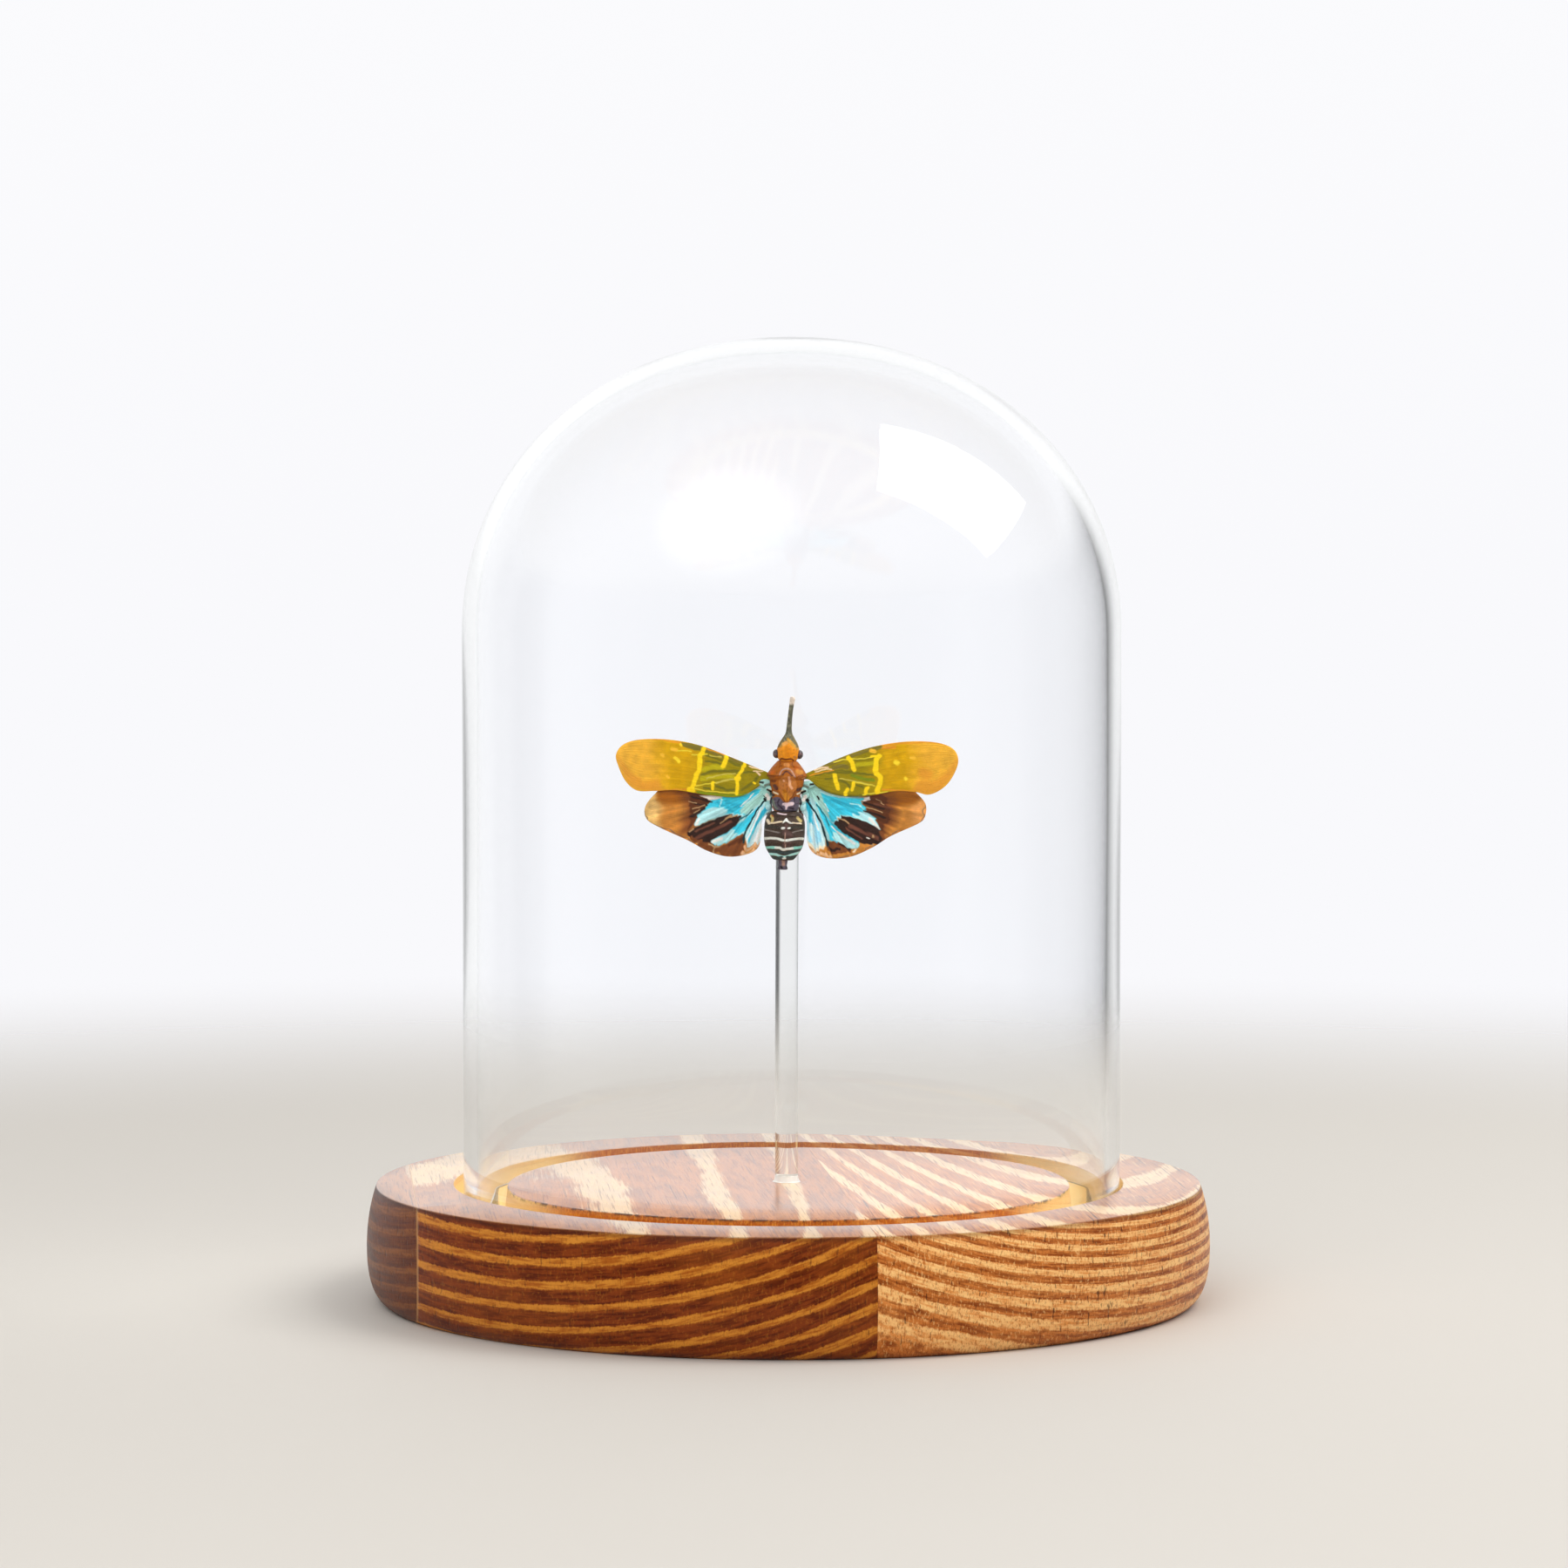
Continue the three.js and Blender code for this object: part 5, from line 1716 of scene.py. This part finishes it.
def limb(start: Array, end: Array, girths: tuple[float, ...], sag: float = 0.0) -> Array:
    """A joint of a leg or beak: a round bar through the given radii, its ends rounded.

    Args:
        start: one end.
        end: the other.
        girths: radii at even steps along it.
        sag: how far its middle bows away from the body.

    Returns:
        The rings.
    """
    share = np.linspace(0, 1, 28)
    radii = np.interp(share, np.linspace(0, 1, len(girths)), girths)
    cap = min(0.12, max(girths) / max(np.linalg.norm(end - start), 1e-6))
    radii *= np.sqrt(np.clip(1 - (1 - np.clip(share / cap, 0, 1)) ** 2, 0.01, 1))
    radii *= np.sqrt(np.clip(1 - (1 - np.clip((1 - share) / cap, 0, 1)) ** 2, 0.01, 1))
    path = start + (end - start) * share[:, None]
    path[:, 1] += sag * np.sin(math.pi * share)
    return tube(path, radii, 18)


@dataclass
class Beak:
    """The sucking beak, folded flat under the body: three joints, thinner towards its tip."""

    joints: tuple[Spot3, ...] = ((0, 2.72, 2.9), (0, 2.85, 1.2), (0, 2.88, -0.3), (0, 2.85, -1.4))
    finish: CuticleFinish = DARK_SKIN

    def build(self) -> list[Piece]:
        """The beak as one piece."""
        joints = np.asarray(self.joints, float)
        girths = ((0.30, 0.29, 0.27), (0.25, 0.22, 0.21), (0.20, 0.15, 0.08))
        tones = (Tint.RUST_DARK, Tint.BROWN_DARK, Tint.BLACK_BROWN)
        parts = zip(map(limb, joints[:-1], joints[1:], girths), tones, strict=True)
        return [assembled("sucking_beak", parts, self.finish.material(), "beak")]


@dataclass
class Leg:
    """One leg, folded under the body: thigh, shin with spines, three-part foot and two claws."""

    pair: str
    way: int
    points: tuple[Spot3, ...]
    spines: int
    finish: CuticleFinish = DARK_SKIN

    def build(self) -> list[Piece]:
        """The leg as one piece."""
        side = "left" if self.way < 0 else "right"
        hip, knee, ankle, toe = (np.asarray(p, float) * (self.way, 1, 1) for p in self.points)
        parts = [
            (limb(hip, knee, (0.26, 0.30, 0.28, 0.22), 0.05), Tint.BROWN_RED),
            (limb(knee, ankle, (0.20, 0.17, 0.18, 0.20), 0.04), Tint.BLACK_BROWN),
        ]
        stops = [ankle + (toe - ankle) * share for share in (0.0, 0.42, 0.70, 1.0)]
        for start, end in zip(stops[:-1], stops[1:], strict=True):
            parts.append((limb(start, end, (0.11, 0.14, 0.12)), Tint.BLACK_BROWN))
        shin = ankle - knee
        out = np.cross(shin, (0, 1, 0))
        out /= np.linalg.norm(out)
        out *= -np.sign(out[0] * self.way) or 1
        for share in np.linspace(0.3, 0.92, self.spines):
            root = knee + shin * share
            parts.append((limb(root, root - out * 0.34 + shin * 0.03, (0.07, 0.04, 0.01)), Tint.BLACK))
        for spread in (-1, 1):
            hook = toe + np.array([spread * 0.12, 0.06, -0.22])
            parts.append((limb(toe, hook, (0.06, 0.04, 0.015)), Tint.BLACK))
        name, node = f"{side}_{self.pair}_leg", f"leg_{self.pair}_{side}"
        return [assembled(name, parts, self.finish.material(), node)]


# ---- the wings ----


@dataclass
class Wing:
    """A spread wing: rungs from one edge to the other, root to tip, closed into a thin shell.

    A spot is given by its share s of the way out and its share t across its rung. The shell's
    middle is depth + camber * (2t - 1)^2 * s, and veins stand out on both faces.
    """

    name: str
    node: str
    slot: Slot
    outline: tuple[Spot, ...]
    depth: float
    finish: WingFinish
    marks: Marks
    seed: int
    camber: float = 0.12
    thickness: float = 0.09
    veins: tuple[float, ...] = (0.08, 0.22, 0.36, 0.5, 0.64, 0.78, 0.92)
    vein_height: float = 0.03
    vein_width: float = 0.09
    root: Spot = (3.2, 79.0)
    jag: float = 0.12
    pleats: float = 0.035
    rungs: int = 250
    steps: int = 118

    def ladder(self) -> Array:
        """Spots on the wing, rungs x steps x 2: lines between equal shares of its two edges."""
        path = smooth_path(self.outline, 14)
        tip = int(np.argmax(np.abs(path[:, 0])))
        share = np.linspace(0, 1, self.rungs)
        first, second = resampled(path[: tip + 1], share), resampled(path[tip:][::-1], share)
        t = np.linspace(0, 1, self.steps)[None, :, None]
        return first[:, None] * (1 - t) + second[:, None] * t

    def ground(self, spots: Array) -> Array:
        """The colour under the marks; each kind of wing has its own."""
        raise NotImplementedError

    def edge_distance(self, spots: Array) -> Array:
        """How far each spot is from the wing's outline."""
        return distance_to(smooth_path(self.outline, 8), spots)

    def ribs(self, across: Array, length: Array, along: Array) -> Array:
        """How far the veins stand out: round ridges at their shares of the rung, forked outwards."""
        height = np.zeros(across.shape)
        for index, vein in enumerate(self.veins):
            fork = 0.03 * ease(0.35, 1.0, along) * (1 if index % 2 else -1)
            for way in (-1, 1):
                gap = np.abs(across - vein - way * fork) * length / self.vein_width
                height = np.maximum(height, np.exp(-(gap**2)))
        return height * self.vein_height

    def painting(self, spots: Array) -> Array:
        """The marks over the ground, drawn out and shaded along rays from the root.

        Noise over the angle round the root, slow along a ray, moves each spot in or out before it
        is painted, so that edges across the rays turn ragged, and then lightens or darkens it.
        """
        away = spots - np.array([math.copysign(self.root[0], spots[:, 0].mean()), self.root[1]])
        reach = np.linalg.norm(away, axis=1)
        angle = np.arctan2(away[:, 1], np.abs(away[:, 0]))
        coarse = ripple(np.stack([angle * 15 + 40, reach * 0.14], 1), 1.0, self.seed + 5)
        fine = ripple(np.stack([angle * 38 + 90, reach * 0.22], 1), 1.0, self.seed + 6)
        shift = (0.65 * coarse + 0.35 * fine) * ease(1.5, 6.0, reach)
        moved = spots + self.jag * shift[:, None] * away / np.maximum(reach, 0.1)[:, None]
        tones = painted(moved, self.ground(moved), self.marks, self.seed, 0.07)
        return tones * (1 + self.pleats * (0.5 * coarse + 0.8 * fine))[:, None]

    def build(self) -> list[Piece]:
        """The wing, its front and back faces meeting in thin edges."""
        spots = self.ladder()
        flat = spots.reshape(-1, 2)
        tones = self.painting(flat).reshape(*spots.shape[:2], 3)
        t = np.broadcast_to(np.linspace(0, 1, self.steps), spots.shape[:2])
        s = np.broadcast_to(np.linspace(0, 1, self.rungs)[:, None], spots.shape[:2])
        length = np.linalg.norm(spots[:, -1] - spots[:, 0], axis=1)[:, None]
        body = self.thickness / 2 * np.sqrt(np.clip(1 - (2 * t - 1) ** 10, 0.03, 1))
        body = body * (0.4 + 0.6 * ease(0, 0.5, length))
        half = body + self.ribs(t, length, s) * ease(0.0, 1.5, length)
        sag = 0.02 * ripple(flat, 2.2, self.seed + 7).reshape(t.shape)
        middle = self.depth + self.camber * ((2 * t - 1) ** 2 - 0.5) * s + sag
        sides = (middle - half, middle + half)
        front, back = (np.stack([spots[..., 0], side, spots[..., 1]], -1) for side in sides)
        rings = np.concatenate([front, back[:, ::-1]], axis=1)
        both = np.concatenate([tones, tones[:, ::-1]], axis=1)
        mesh = Skin().add(rings, both).mesh(self.name)
        return [settle(self.name, mesh, self.finish.material(), self.node)]


@dataclass
class Forewing(Wing):
    """The leathery forewing: olive at the root, gold in the middle, amber at the tip."""

    olive: tuple[int, int, int] = (148, 132, 8)
    gold: tuple[int, int, int] = (208, 160, 2)
    amber: tuple[int, int, int] = (236, 176, 52)

    def ground(self, spots: Array) -> Array:
        """Three colours by distance from the body, clouded."""
        out = np.abs(spots[:, 0]) + 0.9 * ripple(spots, 1.7, self.seed + 2)
        out += 0.35 * ripple(spots, 0.5, self.seed + 3)
        first, second = ease(11.6, 15.8, out)[:, None], ease(17.0, 21.2, out)[:, None]
        tones = mix(mix(self.olive, self.gold, first), self.amber, second)
        return tones * (1 + 0.05 * ripple(spots, 0.8, self.seed + 4))[:, None]


@dataclass
class Hindwing(Wing):
    """The thin hindwing: turquoise at the root, chestnut beyond, amber at the tip."""

    jag: float = 0.75
    pleats: float = 0.16
    tip_from: float = 18.8
    tip_to: float = 20.5
    tip_tone: tuple[int, int, int] = (235, 190, 115)

    def ground(self, spots: Array) -> Array:
        """Turquoise near the body, orange-brown beyond, a pale tip, and a thin dark margin."""
        out = np.abs(spots[:, 0]) + 0.3 * ripple(spots, 1.1, self.seed + 2)
        z = spots[:, 1] + 0.25 * ripple(spots, 0.7, self.seed + 3)
        root = ((1 - ease(10.2, 12.4, out)) * ease(70.6, 71.4, z - 0.12 * np.clip(out - 6, 0, 9)))[:, None]
        tones = mix((196, 130, 54), (176, 224, 226), root)
        tip = ease(self.tip_from, self.tip_to, out)[:, None]
        tones = mix(tones, self.tip_tone, tip) * (1 + 0.07 * ripple(spots, 0.6, self.seed + 4))[:, None]
        rim = (1 - ease(0.05, 0.14, self.edge_distance(spots)))[:, None] * 0.7
        return mix(tones, (110, 90, 80), rim)


FOREWING_SKIN = WingFinish("forewing_skin", (1.1, 2.6), 0.08, 0.04, 0.15, linear(120, 92, 18), 0.45)
HINDWING_SKIN = WingFinish("hindwing_skin", (1.5, 2.2), 0.08, 0.05, 0.10, linear(70, 60, 50), 0.40)

FOREWING_LEFT_OUTLINE = (
    (-2.5, 80.35), (-3.65, 80.2), (-5.35, 78.85), (-7.95, 77.8), (-12, 78.05), (-16.85, 78.8), (-20.3, 78.7),
    (-23, 78.75), (-24.75, 80.15), (-25.85, 82.45), (-26.2, 84.25), (-25.05, 85.8), (-22.5, 86.55),
    (-18.25, 86.55), (-13.6, 85.7), (-8.7, 83.85), (-3.65, 81.75), (-2.5, 81.2),
)
FOREWING_RIGHT_OUTLINE = (
    (2, 80.35), (3.1, 80.4), (4.95, 78.9), (7.95, 77.9), (12.1, 77.9), (16.25, 78.6), (19.4, 78.45),
    (21.5, 78.05), (23.7, 79.1), (25.15, 80.9), (25.95, 83.2), (25.15, 85.05), (22.5, 86.05), (17.95, 86.2),
    (12.95, 85.45), (8.3, 83.95), (3.1, 81.6), (2, 81.15),
)
HINDWING_LEFT_OUTLINE = (
    (-2.4, 80), (-4.2, 80), (-6.45, 79.6), (-12.9, 79.75), (-18.65, 79.35), (-20.4, 78.15), (-21.8, 76.3),
    (-21.7, 74.5), (-20, 73.25), (-15.35, 71.1), (-12.5, 69.55), (-9.4, 68.65), (-6.45, 68.95),
    (-4.65, 70.05), (-4.15, 72.4), (-4, 74.4), (-2.6, 75.6),
)
HINDWING_RIGHT_OUTLINE = (
    (2, 80), (4, 80), (5.95, 79.6), (12.4, 79.75), (18.05, 79.25), (19.8, 78.05), (21, 76.5), (20.9, 74.7),
    (19.9, 73.6), (15.75, 71.7), (12.9, 69.95), (9.6, 68.55), (6.35, 68.3), (3.95, 69.05), (2.9, 70.85),
    (2.75, 74.2), (2, 75.4),
)

INSECT = (
    Head("head_and_snout", "head", Slot.ORANGE, (
        (0, 2.25), (0.9, 2.3), (1.35, 2.6), (1.6, 3.1), (1.7, 4.2), (1.42, 5.1), (0.9, 6), (0.5, 6.8),
        (0.38, 8.2), (0.34, 10.2), (0.37, 11.4), (0.4, 12), (0.3, 12.3), (0, 12.4),
    ), 0.85, ORANGE_SKIN, Tint.HEAD_DEEP, Tint.RUST_GOLD, HEAD_MARKS, 11, rows=200),
    Collar("collar", "prothorax", Slot.ORANGE, (
        (0, -0.3), (1.3, -0.3), (2.6, -0.3), (2.62, -0.28), (2.85, -0.05), (3.08, 0.25), (2.9, 0.6),
        (2.5, 1.25), (1.9, 2), (1.45, 2.45), (0.8, 2.58), (0, 2.6),
    ), 0.74, ORANGE_SKIN, Tint.RUST, Tint.RUST_DARK, PROTHORAX_MARKS, 12),
    WingBearer("wing_bearer", "pterothorax", Slot.ORANGE, (
        (0, -5.35), (1.5, -5.3), (2, -4.7), (2.15, -2.8), (2.4, -1.7), (2.6, -0.8), (2.62, -0.32),
        (2.6, -0.3), (1.3, -0.3), (0, -0.3),
    ), 0.86, ORANGE_SKIN, Tint.RUST, Tint.BROWN_DARK, PTEROTHORAX_MARKS, 13, rows=160),
    Abdomen("abdomen_plates", "abdomen", Slot.BANDED, (
        (0, -12.75), (1.3, -12.7), (1.8, -12.4), (2.35, -11.6), (2.85, -10.7), (3.08, -9.6), (3.13, -8.1),
        (3, -6.6), (2.45, -5.6), (1.6, -5.2), (0, -5.15),
    ), 0.68, BANDED_SKIN, Tint.BLACK_BROWN, Tint.BAND_GREY, ABDOMEN_MARKS, 14, rows=220),
    Segment("tail_tube", "anal_tube", Slot.DARK, (
        (0, -14.2), (0.62, -14.18), (0.75, -14), (0.62, -13.5), (0.7, -12.9), (0.6, -12.5), (0, -12.45),
    ), 0.8, DARK_SKIN, Tint.STEEL, Tint.STEEL_DARK, ANAL_TUBE_MARKS, 15, rows=60, columns=64),
    Eyes(),
    Antennae(),
    Beak(),
    *(Leg(pair, way, points, spines) for pair, points, spines in (
        ("fore", ((1.0, 2.8, 0.9), (2.45, 3.0, -2.2), (2.15, 3.9, 0.7), (1.6, 3.8, -0.6)), 2),
        ("middle", ((1.3, 2.8, -1.4), (2.6, 2.9, -4.9), (2.6, 3.9, -1.4), (2.3, 4.0, -2.6)), 3),
        ("hind", ((2.25, 2.1, -4.5), (2.7, 2.6, -9.3), (2.6, 3.75, -4.6), (2.3, 4.1, -6.2)), 5),
    ) for way in (-1, 1)),
    Forewing("left_forewing", "forewing_left", Slot.FOREWING, FOREWING_LEFT_OUTLINE, -5.22,
             FOREWING_SKIN, FOREWING_LEFT_MARKS, 21),
    Forewing("right_forewing", "forewing_right", Slot.FOREWING, FOREWING_RIGHT_OUTLINE, -5.22,
             FOREWING_SKIN, FOREWING_RIGHT_MARKS, 31),
    Hindwing("left_hindwing", "hindwing_left", Slot.HINDWING, HINDWING_LEFT_OUTLINE, -4.62,
             HINDWING_SKIN, HINDWING_LEFT_MARKS, 41),
    Hindwing("right_hindwing", "hindwing_right", Slot.HINDWING, HINDWING_RIGHT_OUTLINE, -4.62,
             HINDWING_SKIN, HINDWING_RIGHT_MARKS, 61, tip_from=17.9, tip_to=19.6, tip_tone=(215, 150, 80)),
)


def main() -> None:
    """Builds the studio and every sub-assembly in turn."""
    logging.basicConfig(level=logging.INFO, format="%(name)s: %(message)s")
    Studio().build()
    for maker in (PineBase(), GlassDome(), Rod(), Glue(), *INSECT):
        for piece in maker.build():
            LOG.info("%s: %d faces", piece.name, len(piece.data.polygons))


if __name__ == "__main__":
    main()
